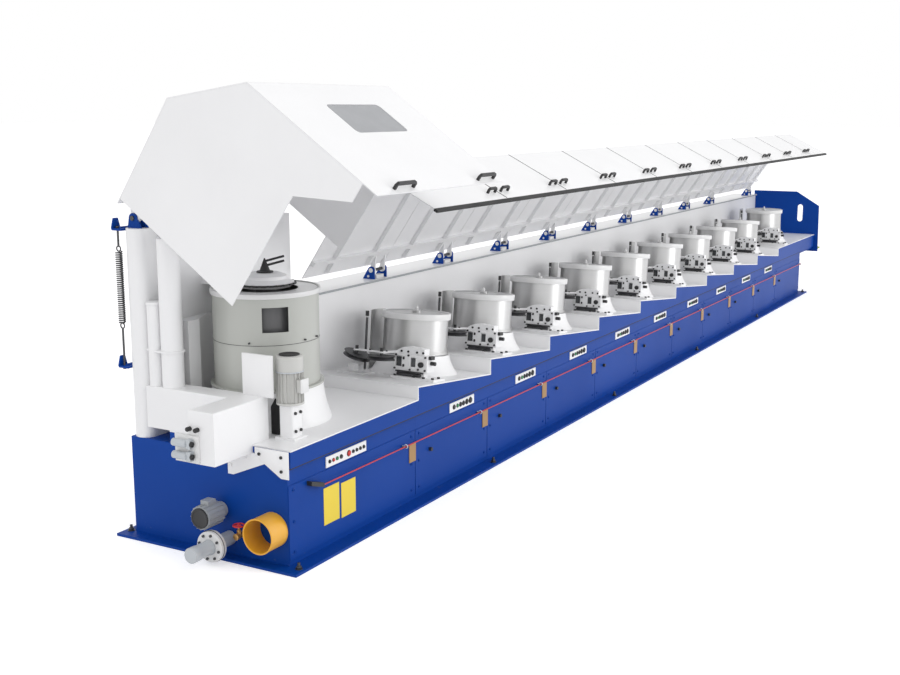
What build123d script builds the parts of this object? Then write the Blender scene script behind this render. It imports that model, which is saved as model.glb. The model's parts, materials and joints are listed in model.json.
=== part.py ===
from build123d import *
import os
from math import atan, cos, degrees, radians, sin

# Straight-line wire drawing machine: ten small blocks on a stepped deck, one large take-up
# block at the near end, and two hinged safety hoods, shown open as in use while threading.
# Millimetres, +X along the wire towards the far end, +Y towards the rear wall, +Z up.
# The origin is on the floor, under the middle of the base.

os.makedirs("parts", exist_ok=True)

# Length of the machine
bay_pitch = 1250
sloped_bays = 9
near_length = 1680
last_bay_length = 2480
overhang = 860

# Width and heights of the base
base_width = 1460
near_deck_z = 856
step_top_z = 962
step_bottom_z = 824
far_deck_z = 941
deck_thickness = 10
section_gap = 1
plinth_thickness = 20
plinth_reach = 100
band_depth = 30
band_bottom_z = 728
overhang_bottom_z = 690
anchor_hole_radius = 14
anchor_pairs = 6

# Rear wall and hinges of the long hood
wall_offset = 1080
wall_top_z = 1620
wall_foot_drop = 60
tall_wall_top_z = 2300
tall_wall_depth = 260
wall_step_z = 1560
panel_slit = 40
niche_gap = 12
rail_height = 22
rail_depth = 26
hinge_y_offset = 1120
hinge_z = 1700
ear_thickness = 14
ear_radius = 34
ear_gap = 60
pin_radius = 14
pin_clearance = 0.3
running_gap = 6

# Long hood, given closed and then turned open about its hinge
hood_open_angle = 63
hood_sheet = 6
hood_front_offset = -64
hood_front_top_z = 1590
hood_bottom_z = 884
hood_roof_back_z = 1742
hood_roof_back_offset = 1085
hood_seam = 6
hood_end_gap = 30
rib_depth = 36
rib_width = 30
ribs_per_panel = 2
seal_height = 34
seal_depth = 22
handle_length = 150
handle_height = 52
handle_bar = 20
handle_inset = 120
handle_rise = 110

# Large hood over the take-up block, given closed and then turned open
big_hinge_y_offset = 1400
big_hinge_z = 2370
big_open_angle = 55
big_sheet = 8
big_front_offset = -36
big_bottom_z = 744
big_front_top_z = 1960
big_slope_back_offset = 440
big_roof_z = 2470
big_roof_back_offset = 1330
big_side_bottom_z = 872
big_side_strip = 150
big_side_cut_z = 1262
big_right_bottom_z = 1590
big_side_corner_offset = 360
big_back_edge_offset = 1288
big_right_gap = 14
big_left_gap = 32
big_handle_length = 250
big_handle_ends = (325, 230)
window_width = 660
window_height = 330
window_bottom_z = 1385
window_corner = 40
window_x_offset = 870
bracket_inset = 100
big_lug_width = 40
big_ear_radius = 36
big_pin_radius = 18

# Small drawing blocks
block_radius = 285
block_y_offset = 535
block_offset = 825
last_block_offset = 1046
lid_radius = 298
skirt_foot_radius = 385
skirt_top_radius = 304
skirt_height = 165
barrel_height = 297
lid_height = 60
spindle_radius = 60

# Die boxes, guide sheaves and sensors beside each small block
die_box_length = 330
die_box_depth = 130
die_box_height = 140
die_box_lift = 66
die_box_face_x = -485
die_box_end_y = -85
die_plate_length = 420
die_plate_depth = 190
die_plate_thickness = 20
die_cover_rise = 58
die_cover_depth = 84
sheave_radius = 118
sheave_width = 34
sheave_lift = 150
sheave_place = (-600, -35)
second_sheave_place = (-600, 212)
second_sheave_tilt = 18
axle_radius = 14
arm_thickness = 12
arm_width = 56
sensor_height = 480
sensor_radius = 9
guard_thickness = 6
guard_height = 520
rod_place = (-360, 280)
inlet_plate_place = (-500, 275)

# Take-up block at the near end
big_block_x_offset = 668
big_block_y_offset = 700
big_skirt_foot_radius = 475
big_skirt_top_radius = 414
big_skirt_height = 274
housing_radius = 392
housing_wall = 8
housing_height = 715
port_width = 190
port_height = 180
port_lift = 440
port_angle = 228
inner_drum_radius = 320
head_radius = 215
cone_radius = 50
cone_height = 105

# Near end cover, columns and pipes
cover_top_z = 1165
cover_bottom_z = 800
cover_nose_reach = 400
cover_nose_offset = 320
cover_nose_width = 220
cover_depth = 180
cover_corner = 10
column_length = 240
column_depth = 170
column_corner = 80
tube_radius = 80
tube_top_z = 2240
short_tube_radius = 50
clamp_z = 1420
clamp_thickness = 14
short_tube_top_z = 1780
spring_radius = 28
spring_bottom_z = 1590
spring_top_z = 2140

# Motor, pump, pipes and duct at the near end
motor_radius = 84
motor_height = 350
motor_foot_height = 250
motor_fins = 18
fin_thickness = 5
fin_depth = 14
duct_radius = 125
duct_wall = 8
duct_reach = 180
pump_radius = 82
pump_reach = 230
pipe_radius = 52
pipe_reach = 420
flange_radius = 110
flange_thickness = 24

# Covers, buttons, latches and labels along the front
cover_panel_thickness = 4
cover_panel_gap = 8
cover_panel_bottom_z = 60
cover_panel_top_z = 598
button_plate_length = 428
near_button_plate_length = 518
button_plate_height = 80
button_plate_bottom_z = 612
button_plate_thickness = 8
button_radius = 13
button_depth = 9
rope_radius = 5
rope_z = 515
rope_stand_off = 36
latch_width = 100
latch_bottom_z = 348
latch_top_z = 502
latch_thickness = 6
label_thickness = 2

# Far end plate and take-off wheel
end_plate_thickness = 12
slot_width = 90
slot_bottom_z = 1160
slot_top_z = 1465
wheel_radius = 60
wheel_width = 26

# Values worked out from the sizes above
deck_length = near_length + sloped_bays * bay_pitch + last_bay_length
base_length = deck_length - overhang
near_x = -base_length / 2
far_x = base_length / 2
first_step_x = near_x + near_length
last_step_x = first_step_x + sloped_bays * bay_pitch
deck_end_x = near_x + deck_length
front_y = -base_width / 2
back_y = base_width / 2
face_y = front_y + band_depth
wall_y = front_y + wall_offset
block_y = front_y + block_y_offset
fall = (step_top_z - step_bottom_z) / bay_pitch
deck_tilt = atan(fall)
bay_starts = [first_step_x + k * bay_pitch for k in range(sloped_bays + 1)]
hinge = (front_y + hinge_y_offset, hinge_z)
big_hinge = (front_y + big_hinge_y_offset, big_hinge_z)


def side(y):
    """Plane facing the front at depth y, with X to the right and Z up."""
    return Plane(origin=(0, y, 0), x_dir=(1, 0, 0), z_dir=(0, -1, 0))


def deck_line(drop, shift):
    """Stepped outline of the deck in X and Z, lowered by drop, its risers moved by shift."""
    points = [(near_x, near_deck_z - drop), (first_step_x + shift, near_deck_z - drop)]
    for start in bay_starts[:-1]:
        points.append((start + shift, step_top_z - drop - shift * fall))
        points.append((start + bay_pitch + shift, step_bottom_z - drop - shift * fall))
    points.append((last_step_x + shift, far_deck_z - drop))
    points.append((deck_end_x, far_deck_z - drop))
    return points


def bay_plane(k):
    """Plane on the deck at the foot of block k, square to its spindle."""
    if k < sloped_bays:
        origin = (
            bay_starts[k] + block_offset,
            block_y,
            step_top_z - fall * block_offset,
        )
        return Plane(
            origin=origin,
            x_dir=(cos(deck_tilt), 0, -sin(deck_tilt)),
            z_dir=(sin(deck_tilt), 0, cos(deck_tilt)),
        )
    return Plane(origin=(last_step_x + last_block_offset, block_y, far_deck_z))


def upright(plane):
    """Plane through the spindle, with its own Y along the spindle."""
    return Plane(origin=plane.origin, x_dir=plane.x_dir, z_dir=(0, -1, 0))


def at(plane, x, y, z=0):
    """Plane parallel to the given one, moved in its own directions."""
    return Plane(
        origin=plane.origin + plane.x_dir * x + plane.y_dir * y + plane.z_dir * z,
        x_dir=plane.x_dir,
        z_dir=plane.z_dir,
    )


def opened(points, pivot, angle):
    """Closed hood points (Y offset from the front, Z) turned open about the pivot."""
    c, s = cos(radians(angle)), sin(radians(angle))
    turned = []
    for offset, z in points:
        dy, dz = front_y + offset - pivot[0], z - pivot[1]
        turned.append((pivot[0] + dy * c + dz * s, pivot[1] - dy * s + dz * c))
    return turned


bays = [bay_plane(k) for k in range(sloped_bays + 1)]
take_up = Plane(origin=(near_x + big_block_x_offset, front_y + big_block_y_offset, near_deck_z))

# Base, deck and plinth
with BuildPart() as base_frame:
    with BuildSketch(side(wall_y)):
        with BuildLine():
            Polyline(
                *deck_line(deck_thickness, deck_thickness),
                (deck_end_x, overhang_bottom_z),
                (far_x, overhang_bottom_z),
                (far_x, plinth_thickness),
                (near_x, plinth_thickness),
                close=True,
            )
        make_face()
    extrude(amount=wall_y - face_y)
    with BuildSketch(side(face_y)):
        with BuildLine():
            Polyline(
                *deck_line(deck_thickness, deck_thickness),
                (deck_end_x, band_bottom_z),
                (near_x, band_bottom_z),
                close=True,
            )
        make_face()
    extrude(amount=band_depth)
    with BuildSketch(side(back_y)):
        with BuildLine():
            Polyline(
                (near_x, plinth_thickness),
                (far_x, plinth_thickness),
                (far_x, overhang_bottom_z),
                (deck_end_x, overhang_bottom_z),
                (deck_end_x, step_bottom_z - wall_foot_drop),
                (near_x, step_bottom_z - wall_foot_drop),
                close=True,
            )
        make_face()
    extrude(amount=back_y - wall_y)
    for joint_x in (*[start + deck_thickness - section_gap for start in bay_starts], far_x):
        with Locations((joint_x + section_gap / 2, 0, step_top_z / 2)):
            Box(section_gap, 2 * base_width, step_top_z, mode=Mode.SUBTRACT)
base_frame.part.label = "base_frame"
export_step(base_frame.part, "parts/base_frame.step")

with BuildPart() as plinth:
    with BuildSketch():
        Rectangle(base_length + 2 * plinth_reach, base_width + 2 * plinth_reach)
        with GridLocations(
            base_length / (anchor_pairs - 1), base_width + plinth_reach, anchor_pairs, 2
        ):
            Circle(anchor_hole_radius, mode=Mode.SUBTRACT)
    extrude(amount=plinth_thickness)
plinth.part.label = "plinth"
export_step(plinth.part, "parts/plinth.step")

with BuildPart() as deck:
    with BuildSketch(side(wall_y)):
        with BuildLine():
            Polyline(
                *deck_line(0, 0),
                *reversed(deck_line(deck_thickness, deck_thickness)),
                close=True,
            )
        make_face()
    extrude(amount=wall_y - front_y + deck_thickness / 2)
    for start in bay_starts:
        top_z = step_top_z if start < last_step_x else far_deck_z
        with Locations((start - section_gap / 2, 0, step_top_z / 2)):
            Box(section_gap, 2 * base_width, step_top_z, mode=Mode.SUBTRACT)
        with Locations((start, 0, top_z - deck_thickness - 2)):
            Box(3 * deck_thickness, 2 * base_width, section_gap, mode=Mode.SUBTRACT)
deck.part.label = "deck"
export_step(deck.part, "parts/deck.step")

# Rear wall with its rail, and the tall wall behind the take-up block
wall_foot_z = step_bottom_z - wall_foot_drop
with BuildPart() as rear_wall:
    with BuildSketch(Plane.XY.offset(wall_foot_z)):
        with Locations(((first_step_x + deck_end_x) / 2, (wall_y + back_y) / 2)):
            Rectangle(deck_end_x - first_step_x, back_y - wall_y)
    extrude(amount=wall_top_z - wall_foot_z)
    with BuildSketch(Plane.YZ.offset(first_step_x)):
        with Locations((wall_y - rail_depth / 2, wall_top_z - rail_height / 2)):
            Rectangle(rail_depth, rail_height)
    extrude(amount=deck_length - near_length)
rear_wall.part.label = "rear_wall"
export_step(rear_wall.part, "parts/rear_wall.step")

with BuildPart() as tall_wall:
    wall_start_x = near_x + column_length
    for foot_z, top_z, depth, end_x in (
        (wall_foot_z, wall_step_z, back_y - wall_y, first_step_x),
        (wall_step_z, wall_top_z, back_y - wall_y, first_step_x - panel_slit),
        (wall_top_z, tall_wall_top_z, tall_wall_depth, first_step_x - panel_slit),
    ):
        with BuildSketch(Plane.XY.offset(foot_z)):
            with Locations(((wall_start_x + end_x) / 2, back_y - depth / 2)):
                Rectangle(end_x - wall_start_x, depth)
        extrude(amount=top_z - foot_z)
    with BuildSketch(take_up):
        Circle(big_skirt_foot_radius + niche_gap)
    extrude(amount=tall_wall_top_z - near_deck_z, mode=Mode.SUBTRACT)
tall_wall.part.label = "tall_wall"
export_step(tall_wall.part, "parts/tall_wall.step")

# Small blocks: each turns on its own spindle in a fixed skirt
drum_foot_z = skirt_height + running_gap
lid_z = drum_foot_z + barrel_height
lip = 10
boss_radius = 38
for k, bay in enumerate(bays):
    with BuildPart() as block:
        with BuildSketch(upright(bay)):
            with BuildLine():
                Polyline(
                    (0, pin_clearance),
                    (spindle_radius, pin_clearance),
                    (spindle_radius, drum_foot_z),
                    (block_radius + lip, drum_foot_z),
                    (block_radius + lip, drum_foot_z + lip),
                    (block_radius, drum_foot_z + 3 * lip),
                    (block_radius - lip / 2, lid_z),
                    (lid_radius, lid_z),
                    (lid_radius, lid_z + lid_height - lip / 2),
                    (lid_radius - lip / 2, lid_z + lid_height),
                    (lid_radius - 2 * lip, lid_z + lid_height),
                    (lid_radius - 3 * lip, lid_z + lid_height - lip),
                    (boss_radius, lid_z + lid_height - lip),
                    (boss_radius, lid_z + lid_height + lip),
                    (0, lid_z + lid_height + lip),
                    close=True,
                )
            make_face()
        revolve(axis=Axis(bay.origin, bay.z_dir))
    block.part.label = f"block_{k + 1}"
    export_step(block.part, f"parts/block_{k + 1}.step")

with BuildPart() as block_skirts:
    for bay in bays:
        with BuildSketch(upright(bay)):
            with BuildLine():
                foot = (skirt_foot_radius, 0)
                rim = (skirt_top_radius, skirt_height)
                bore = spindle_radius + pin_clearance
                Polyline(rim, (bore, skirt_height), (bore, 0), foot)
                RadiusArc(foot, rim, 2 * skirt_height)
            make_face()
        revolve(axis=Axis(bay.origin, bay.z_dir))
block_skirts.part.label = "block_skirts"
export_step(block_skirts.part, "parts/block_skirts.step")

# Die boxes on their plates, each with an arm that carries the guide sheaves
arm_z = die_box_lift + die_box_height
die_box_x = die_box_face_x + die_box_depth / 2
die_box_y = die_box_end_y - die_box_length / 2
die_box_middle_z = die_box_lift + 0.55 * die_box_height
die_box_top_z = die_box_lift + die_box_height
die_box_front_y = die_box_end_y - die_box_length
die_face = Plane.YZ.offset(die_box_face_x)
with BuildPart() as die_box:
    with BuildSketch():
        with Locations((die_box_x - 12, die_box_y - 46)):
            Rectangle(die_plate_depth, die_plate_length)
        Circle(skirt_foot_radius + running_gap, mode=Mode.SUBTRACT)
    extrude(amount=die_plate_thickness)
    with BuildSketch(Plane.XY.offset(die_plate_thickness)):
        with Locations((die_box_face_x + 42, die_box_y)):
            Rectangle(60, die_box_length - 70)
    extrude(amount=die_box_lift - die_plate_thickness)
    with BuildSketch(Plane.XY.offset(die_box_lift)):
        with Locations((die_box_x, die_box_y)):
            RectangleRounded(die_box_depth, die_box_length, 10)
    extrude(amount=die_box_height)
    with BuildSketch(die_face.offset(20)):
        with BuildLine():
            cover_left = die_box_front_y + 45
            cover_right = die_box_end_y - 8
            cover_top = die_box_top_z + die_cover_rise
            Polyline((cover_right, die_box_top_z), (cover_left, die_box_top_z))
            Line((cover_left, die_box_top_z), (cover_left, cover_top - 8))
            Line((cover_left, cover_top - 8), (cover_right - 150, cover_top))
            RadiusArc((cover_right - 150, cover_top), (cover_right, die_box_top_z + 14), 190)
            Line((cover_right, die_box_top_z + 14), (cover_right, die_box_top_z))
        make_face()
    extrude(amount=die_cover_depth)
    with BuildSketch(die_face):
        with Locations((die_box_end_y - 50, die_box_middle_z)):
            Rectangle(60, 88)
        with Locations((die_box_end_y - 190, die_box_middle_z)):
            Rectangle(50, 80)
    extrude(amount=24, mode=Mode.SUBTRACT)
    with BuildSketch(Plane.XY.offset(arm_z)):
        with BuildLine():
            Line((die_box_face_x + 60, die_box_end_y - 4), sheave_place)
        trace(line_width=arm_width)
        with BuildLine():
            Line(sheave_place, second_sheave_place)
        trace(line_width=arm_width * 0.7)
        with Locations(sheave_place, second_sheave_place):
            Circle(arm_width / 2)
    extrude(amount=arm_thickness)

with BuildPart() as die_boxes:
    with Locations(*[bay.location for bay in bays]):
        add(die_box.part)
    with BuildSketch(bays[0]):
        with Locations(inlet_plate_place):
            Rectangle(200, 250)
    extrude(amount=12)
    with BuildSketch(bays[0].offset(12)):
        with Locations((inlet_plate_place[0] + 40, inlet_plate_place[1] + 60)):
            RectangleRounded(80, 60, 10)
    extrude(amount=56)
die_boxes.part.label = "die_boxes"
export_step(die_boxes.part, "parts/die_boxes.step")

with BuildPart() as sheave:
    with BuildSketch(Plane.XZ):
        Polygon(
            (0, 0),
            (sheave_radius, 0),
            (sheave_radius - 16, sheave_width / 2),
            (sheave_radius, sheave_width),
            (3 * axle_radius, sheave_width),
            (3 * axle_radius, sheave_width + 3),
            (0, sheave_width + 3),
            align=None,
        )
    revolve(axis=Axis.Z)

with BuildPart() as guide_sheaves:
    for bay in bays:
        for place, tilt in ((sheave_place, 0), (second_sheave_place, second_sheave_tilt)):
            seat = at(bay, *place, arm_z)
            with BuildSketch(seat):
                Circle(axle_radius)
            extrude(amount=sheave_lift + sheave_width / 2 - arm_z)
            with Locations(at(bay, *place, sheave_lift).location * Rot(tilt, 0, 0)):
                add(sheave.part)
guide_sheaves.part.label = "guide_sheaves"
export_step(guide_sheaves.part, "parts/guide_sheaves.step")

# Clamp and knobs of each die box, bolts of the sheave axles and caps of the sensor posts
with BuildPart() as clamp_set:
    with BuildSketch(Plane.XY.offset(arm_z + arm_thickness)):
        with Locations(sheave_place, second_sheave_place):
            RegularPolygon(axle_radius, 6)
    extrude(amount=30)
    with BuildSketch(die_face):
        with Locations((die_box_end_y - 272, die_box_middle_z - 14)):
            RegularPolygon(24, 10)
    extrude(amount=-20)
    with BuildSketch(die_face):
        with Locations(
            (die_box_end_y - 102, die_box_middle_z + 28),
            (die_box_end_y - 102, die_box_middle_z - 34),
        ):
            SlotOverall(24, 14, rotation=90)
    extrude(amount=-12)
    with BuildSketch(Plane.XZ.offset(-die_box_front_y)):
        with Locations((die_box_x - 20, die_box_top_z - 16)):
            Rectangle(60, 30)
    extrude(amount=26)
    with BuildSketch(Plane.XZ.offset(-die_box_front_y)):
        with Locations((die_box_x - 6, die_box_top_z - 64)):
            RegularPolygon(17, 10)
    extrude(amount=44)

with BuildPart() as deck_fittings:
    with Locations(*[bay.location for bay in bays]):
        add(clamp_set.part)
    for bay in bays:
        with BuildSketch(bay.offset(sensor_height)):
            with Locations(rod_place):
                RegularPolygon(16, 8)
        extrude(amount=44)
deck_fittings.part.label = "deck_fittings"
export_step(deck_fittings.part, "parts/deck_fittings.step")

# Sensor rods and splash guards on the deck
guard_radius = skirt_foot_radius + 15
with BuildPart() as sensor_posts:
    for bay in bays:
        with BuildSketch(bay):
            with Locations(rod_place):
                Circle(sensor_radius)
        extrude(amount=sensor_height)
    for bay in bays:
        with BuildSketch(bay):
            with BuildLine():
                CenterArc((0, 0), guard_radius, 76, 47)
            trace(line_width=guard_thickness)
        extrude(amount=guard_height)
sensor_posts.part.label = "sensor_posts"
export_step(sensor_posts.part, "parts/sensor_posts.step")

# Take-up block: skirt, housing with its port, drum inside and winding head on top
head_z = big_skirt_height + housing_height + 6
rim_width = 14
with BuildPart() as take_up_skirt:
    with BuildSketch(upright(take_up)):
        with BuildLine():
            big_foot = (big_skirt_foot_radius, 0)
            big_rim = (big_skirt_top_radius, big_skirt_height)
            Polyline(big_rim, (0, big_skirt_height), (0, 0), big_foot)
            RadiusArc(big_foot, big_rim, 3 * big_skirt_height)
        make_face()
    revolve(axis=Axis(take_up.origin, take_up.z_dir))
take_up_skirt.part.label = "take_up_skirt"
export_step(take_up_skirt.part, "parts/take_up_skirt.step")

with BuildPart() as take_up_housing:
    with BuildSketch(take_up.offset(big_skirt_height)):
        Circle(housing_radius)
        Circle(housing_radius - housing_wall, mode=Mode.SUBTRACT)
    extrude(amount=housing_height)
    with BuildSketch(take_up.offset(big_skirt_height + housing_height - rim_width)):
        Circle(housing_radius + rim_width)
        Circle(housing_radius - housing_wall, mode=Mode.SUBTRACT)
    extrude(amount=rim_width)
    port_place = Plane(
        origin=take_up.origin + Vector(0, 0, big_skirt_height + port_lift + port_height / 2),
        x_dir=(-sin(radians(port_angle)), cos(radians(port_angle)), 0),
        z_dir=(cos(radians(port_angle)), sin(radians(port_angle)), 0),
    )
    with BuildSketch(port_place):
        Rectangle(port_width, port_height)
    extrude(amount=housing_radius + rim_width, mode=Mode.SUBTRACT)
take_up_housing.part.label = "take_up_housing"
export_step(take_up_housing.part, "parts/take_up_housing.step")

with BuildPart() as take_up_drum:
    with BuildSketch(upright(take_up)):
        drum_top = head_z - 60
        Polygon(
            (0, big_skirt_height),
            (inner_drum_radius, big_skirt_height),
            (inner_drum_radius, drum_top),
            (70, drum_top),
            (70, head_z),
            (0, head_z),
            align=None,
        )
    revolve(axis=Axis(take_up.origin, take_up.z_dir))
take_up_drum.part.label = "take_up_drum"
export_step(take_up_drum.part, "parts/take_up_drum.step")

with BuildPart() as winding_head:
    with BuildSketch(upright(take_up)):
        Polygon(
            (0, head_z),
            (head_radius - 30, head_z),
            (head_radius, head_z + 20),
            (head_radius, head_z + 36),
            (head_radius - 55, head_z + 60),
            (head_radius - 55, head_z + 84),
            (head_radius - 110, head_z + 104),
            (0, head_z + 104),
            align=None,
        )
    revolve(axis=Axis(take_up.origin, take_up.z_dir))
    arm_front_y = take_up.origin.Y + head_radius + 40
    arm_back_y = back_y - tall_wall_depth
    with BuildSketch(Plane.XY.offset(near_deck_z + head_z)):
        with Locations((take_up.origin.X - 60, (arm_front_y + arm_back_y) / 2)):
            Rectangle(140, arm_back_y - arm_front_y)
    extrude(amount=70)
winding_head.part.label = "winding_head"
export_step(winding_head.part, "parts/winding_head.step")

ring_radius = head_radius + 12
cone_foot_z = head_z + 104
finger_tilt = 24
with BuildPart() as winding_fingers:
    with BuildSketch(upright(take_up)):
        Polygon(
            (0, cone_foot_z),
            (cone_radius, cone_foot_z),
            (cone_radius * 0.4, cone_foot_z + cone_height),
            (0, cone_foot_z + cone_height),
            align=None,
        )
    revolve(axis=Axis(take_up.origin, take_up.z_dir))
    for turn in (-35, 40):
        direction = Vector(sin(radians(turn)), 0, cos(radians(turn)))
        finger = Plane(
            origin=take_up.origin + Vector(0, 0, cone_foot_z + cone_height * 0.6),
            z_dir=direction,
        )
        with BuildSketch(finger):
            Circle(9)
        extrude(amount=90)
    with BuildSketch(take_up.offset(head_z + 22)):
        Circle(ring_radius)
        Circle(head_radius, mode=Mode.SUBTRACT)
        with PolarLocations(ring_radius, 24):
            Rectangle(12, 22, mode=Mode.SUBTRACT)
    extrude(amount=12)
winding_fingers.part.label = "winding_fingers"
export_step(winding_fingers.part, "parts/winding_fingers.step")

# Traverse cover with its nose, gusset and air valves
nose_y = front_y + cover_nose_offset
nose_x = near_x - cover_nose_reach
column_y = back_y - column_depth
with BuildPart() as traverse_cover:
    with BuildSketch(Plane.XY.offset(near_deck_z)):
        with Locations((near_x + cover_depth / 2, (nose_y + column_y) / 2)):
            Rectangle(cover_depth, column_y - nose_y)
    extrude(amount=cover_top_z - near_deck_z)
    with BuildSketch(side(nose_y)):
        with BuildLine():
            Polyline(
                (near_x, cover_bottom_z),
                (nose_x, cover_bottom_z),
                (nose_x, cover_top_z),
                (near_x, cover_top_z),
                close=True,
            )
        make_face()
    extrude(amount=-cover_nose_width)
    fillet(
        traverse_cover.faces().sort_by(Axis.Z)[-1].edges(), radius=cover_corner
    )
traverse_cover.part.label = "traverse_cover"
export_step(traverse_cover.part, "parts/traverse_cover.step")

motor_x = near_x + 280
motor_y = front_y + 200
motor_z = near_deck_z + motor_foot_height
valve_places = ((nose_y + 150, 1010), (nose_y + 150, 905))
valve_reach = 110
with BuildPart() as air_valves:
    with BuildSketch(Plane.YZ.offset(nose_x)):
        with Locations((nose_y + 140, 970)):
            RectangleRounded(170, 300, 10)
    extrude(amount=-10)
    with BuildSketch(Plane.YZ.offset(nose_x - 10)):
        with Locations(*valve_places):
            Circle(42)
    extrude(amount=-valve_reach)
air_valves.part.label = "air_valves"
export_step(air_valves.part, "parts/air_valves.step")

with BuildPart() as valve_caps:
    with BuildSketch(Plane.YZ.offset(nose_x - 10 - valve_reach)):
        with Locations(*valve_places):
            RegularPolygon(30, 8)
    extrude(amount=-16)
    with BuildSketch(Plane.YZ.offset(nose_x - 10)):
        with Locations((nose_y + 95, 1094), (nose_y + 190, 1094)):
            RegularPolygon(15, 8)
    extrude(amount=-40)
    with BuildSketch(Plane.YZ.offset(near_x + 290)):
        Polygon(
            (motor_y + 104, near_deck_z),
            (motor_y + 184, near_deck_z),
            (motor_y + 184, near_deck_z + 200),
            (motor_y + 144, near_deck_z + 264),
            (motor_y + 104, near_deck_z + 264),
            align=None,
        )
    extrude(amount=10)
valve_caps.part.label = "valve_caps"
export_step(valve_caps.part, "parts/valve_caps.step")

# Traverse motor on its foot, with the wire plate beside it
with BuildPart() as traverse_brackets:
    with BuildSketch(Plane.XY.offset(near_deck_z)):
        with Locations((motor_x, motor_y)):
            Rectangle(150, 170)
    extrude(amount=14)
    with BuildSketch(Plane.XY.offset(near_deck_z + 14)):
        with Locations((motor_x, motor_y)):
            RectangleRounded(110, 120, 12)
    extrude(amount=motor_foot_height - 14)
    with BuildSketch(Plane.YZ.offset(near_x + cover_depth - 40)):
        with Locations((nose_y + 110, cover_top_z + 120)):
            Rectangle(150, 240)
    extrude(amount=10)
    with BuildSketch(Plane.YZ.offset(near_x - 12)):
        Polygon(
            (front_y + 60, cover_bottom_z),
            (nose_y + cover_nose_width, cover_bottom_z),
            (nose_y + cover_nose_width, cover_bottom_z - 180),
            (nose_y + cover_nose_width - 50, cover_bottom_z - 180),
            align=None,
        )
    extrude(amount=12)
    with BuildSketch(Plane.YZ.offset(near_x - 12)):
        with Locations((nose_y + 60, cover_bottom_z - 34), (nose_y + 190, cover_bottom_z - 110)):
            RegularPolygon(12, 6)
    extrude(amount=-10)
traverse_brackets.part.label = "traverse_brackets"
export_step(traverse_brackets.part, "parts/traverse_brackets.step")

with BuildPart() as traverse_motor:
    with BuildSketch(Plane.XY.offset(motor_z)):
        with Locations((motor_x, motor_y)):
            Circle(motor_radius + fin_depth)
    extrude(amount=16)
    with BuildSketch(Plane.XY.offset(motor_z + 16)):
        with Locations((motor_x, motor_y)):
            Circle(motor_radius)
            with PolarLocations(motor_radius + fin_depth / 2 - 1, motor_fins):
                Rectangle(fin_depth + 2, fin_thickness)
    extrude(amount=motor_height * 0.62)
    with BuildSketch(Plane.XY.offset(motor_z + 16 + motor_height * 0.62)):
        with Locations((motor_x, motor_y)):
            Circle(motor_radius + fin_depth)
    extrude(amount=motor_height * 0.38 - 16)
    fillet(traverse_motor.edges().sort_by(Axis.Z)[-1], radius=18)
    with BuildSketch(side(motor_y - motor_radius)):
        with Locations((motor_x, motor_z + motor_height * 0.4)):
            Rectangle(80, 90)
    extrude(amount=40)
traverse_motor.part.label = "traverse_motor"
export_step(traverse_motor.part, "parts/traverse_motor.step")

# Corner column, riser pipes and the balance spring behind the column
with BuildPart() as corner_column:
    with BuildSketch(Plane.XY.offset(wall_foot_z)):
        with Locations((near_x + column_length / 2, (column_y + back_y) / 2)):
            Rectangle(column_length, column_depth)
    extrude(amount=tall_wall_top_z - wall_foot_z)
    fillet(corner_column.edges().filter_by(Axis.Z).group_by(Axis.X)[0], radius=column_corner)
corner_column.part.label = "corner_column"
export_step(corner_column.part, "parts/corner_column.step")

tall_pipe_place = (near_x + 86, column_y - 190)
short_pipe_place = (near_x + 54, column_y - short_tube_radius - 8)
with BuildPart() as riser_pipes:
    with BuildSketch(Plane.XY.offset(cover_top_z)):
        with Locations(tall_pipe_place):
            Circle(tube_radius)
    extrude(amount=tube_top_z - cover_top_z)
    with BuildSketch(Plane.XY.offset(cover_top_z)):
        with Locations(short_pipe_place):
            Circle(short_tube_radius)
    extrude(amount=short_tube_top_z - cover_top_z)
    with BuildSketch(Plane.XY.offset(short_tube_top_z - 20)):
        with Locations(short_pipe_place):
            Circle(short_tube_radius + 5)
    extrude(amount=20)
    with BuildSketch(Plane.XY.offset(clamp_z)):
        with BuildLine():
            Line(tall_pipe_place, (near_x + 120, column_y))
        trace(line_width=2 * tube_radius + 24)
        with Locations(tall_pipe_place):
            Circle(tube_radius + 12)
        with Locations((near_x + 120, column_y + 150)):
            Rectangle(400, 300, mode=Mode.SUBTRACT)
    extrude(amount=clamp_thickness)
riser_pipes.part.label = "riser_pipes"
export_step(riser_pipes.part, "parts/riser_pipes.step")

spring_x = near_x + 30
spring_y = back_y + 60
with BuildPart() as balance_spring:
    with BuildSketch(Plane.XY.offset(spring_bottom_z)):
        with Locations((spring_x, spring_y)):
            Circle(spring_radius)
    extrude(amount=spring_top_z - spring_bottom_z)
    with BuildSketch(Plane.XY.offset(1270)):
        with Locations((spring_x, spring_y)):
            Circle(8)
    extrude(amount=2300 - 1270)
    for lug_z in (1270, 2280):
        with BuildSketch(Plane.XY.offset(lug_z)):
            with Locations((spring_x + 70, back_y + 50)):
                Rectangle(200, 100)
            with Locations((spring_x, spring_y)):
                Circle(8, mode=Mode.SUBTRACT)
        extrude(amount=16)
balance_spring.part.label = "balance_spring"
export_step(balance_spring.part, "parts/balance_spring.step")

# Air duct, pump, suction pipe and drain valve on the near end of the base
with BuildPart() as air_duct:
    with BuildSketch(Plane.YZ.offset(near_x)):
        with Locations((front_y + 160, 270)):
            Circle(duct_radius)
            Circle(duct_radius - duct_wall, mode=Mode.SUBTRACT)
    extrude(amount=-duct_reach)
air_duct.part.label = "air_duct"
export_step(air_duct.part, "parts/air_duct.step")

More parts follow.
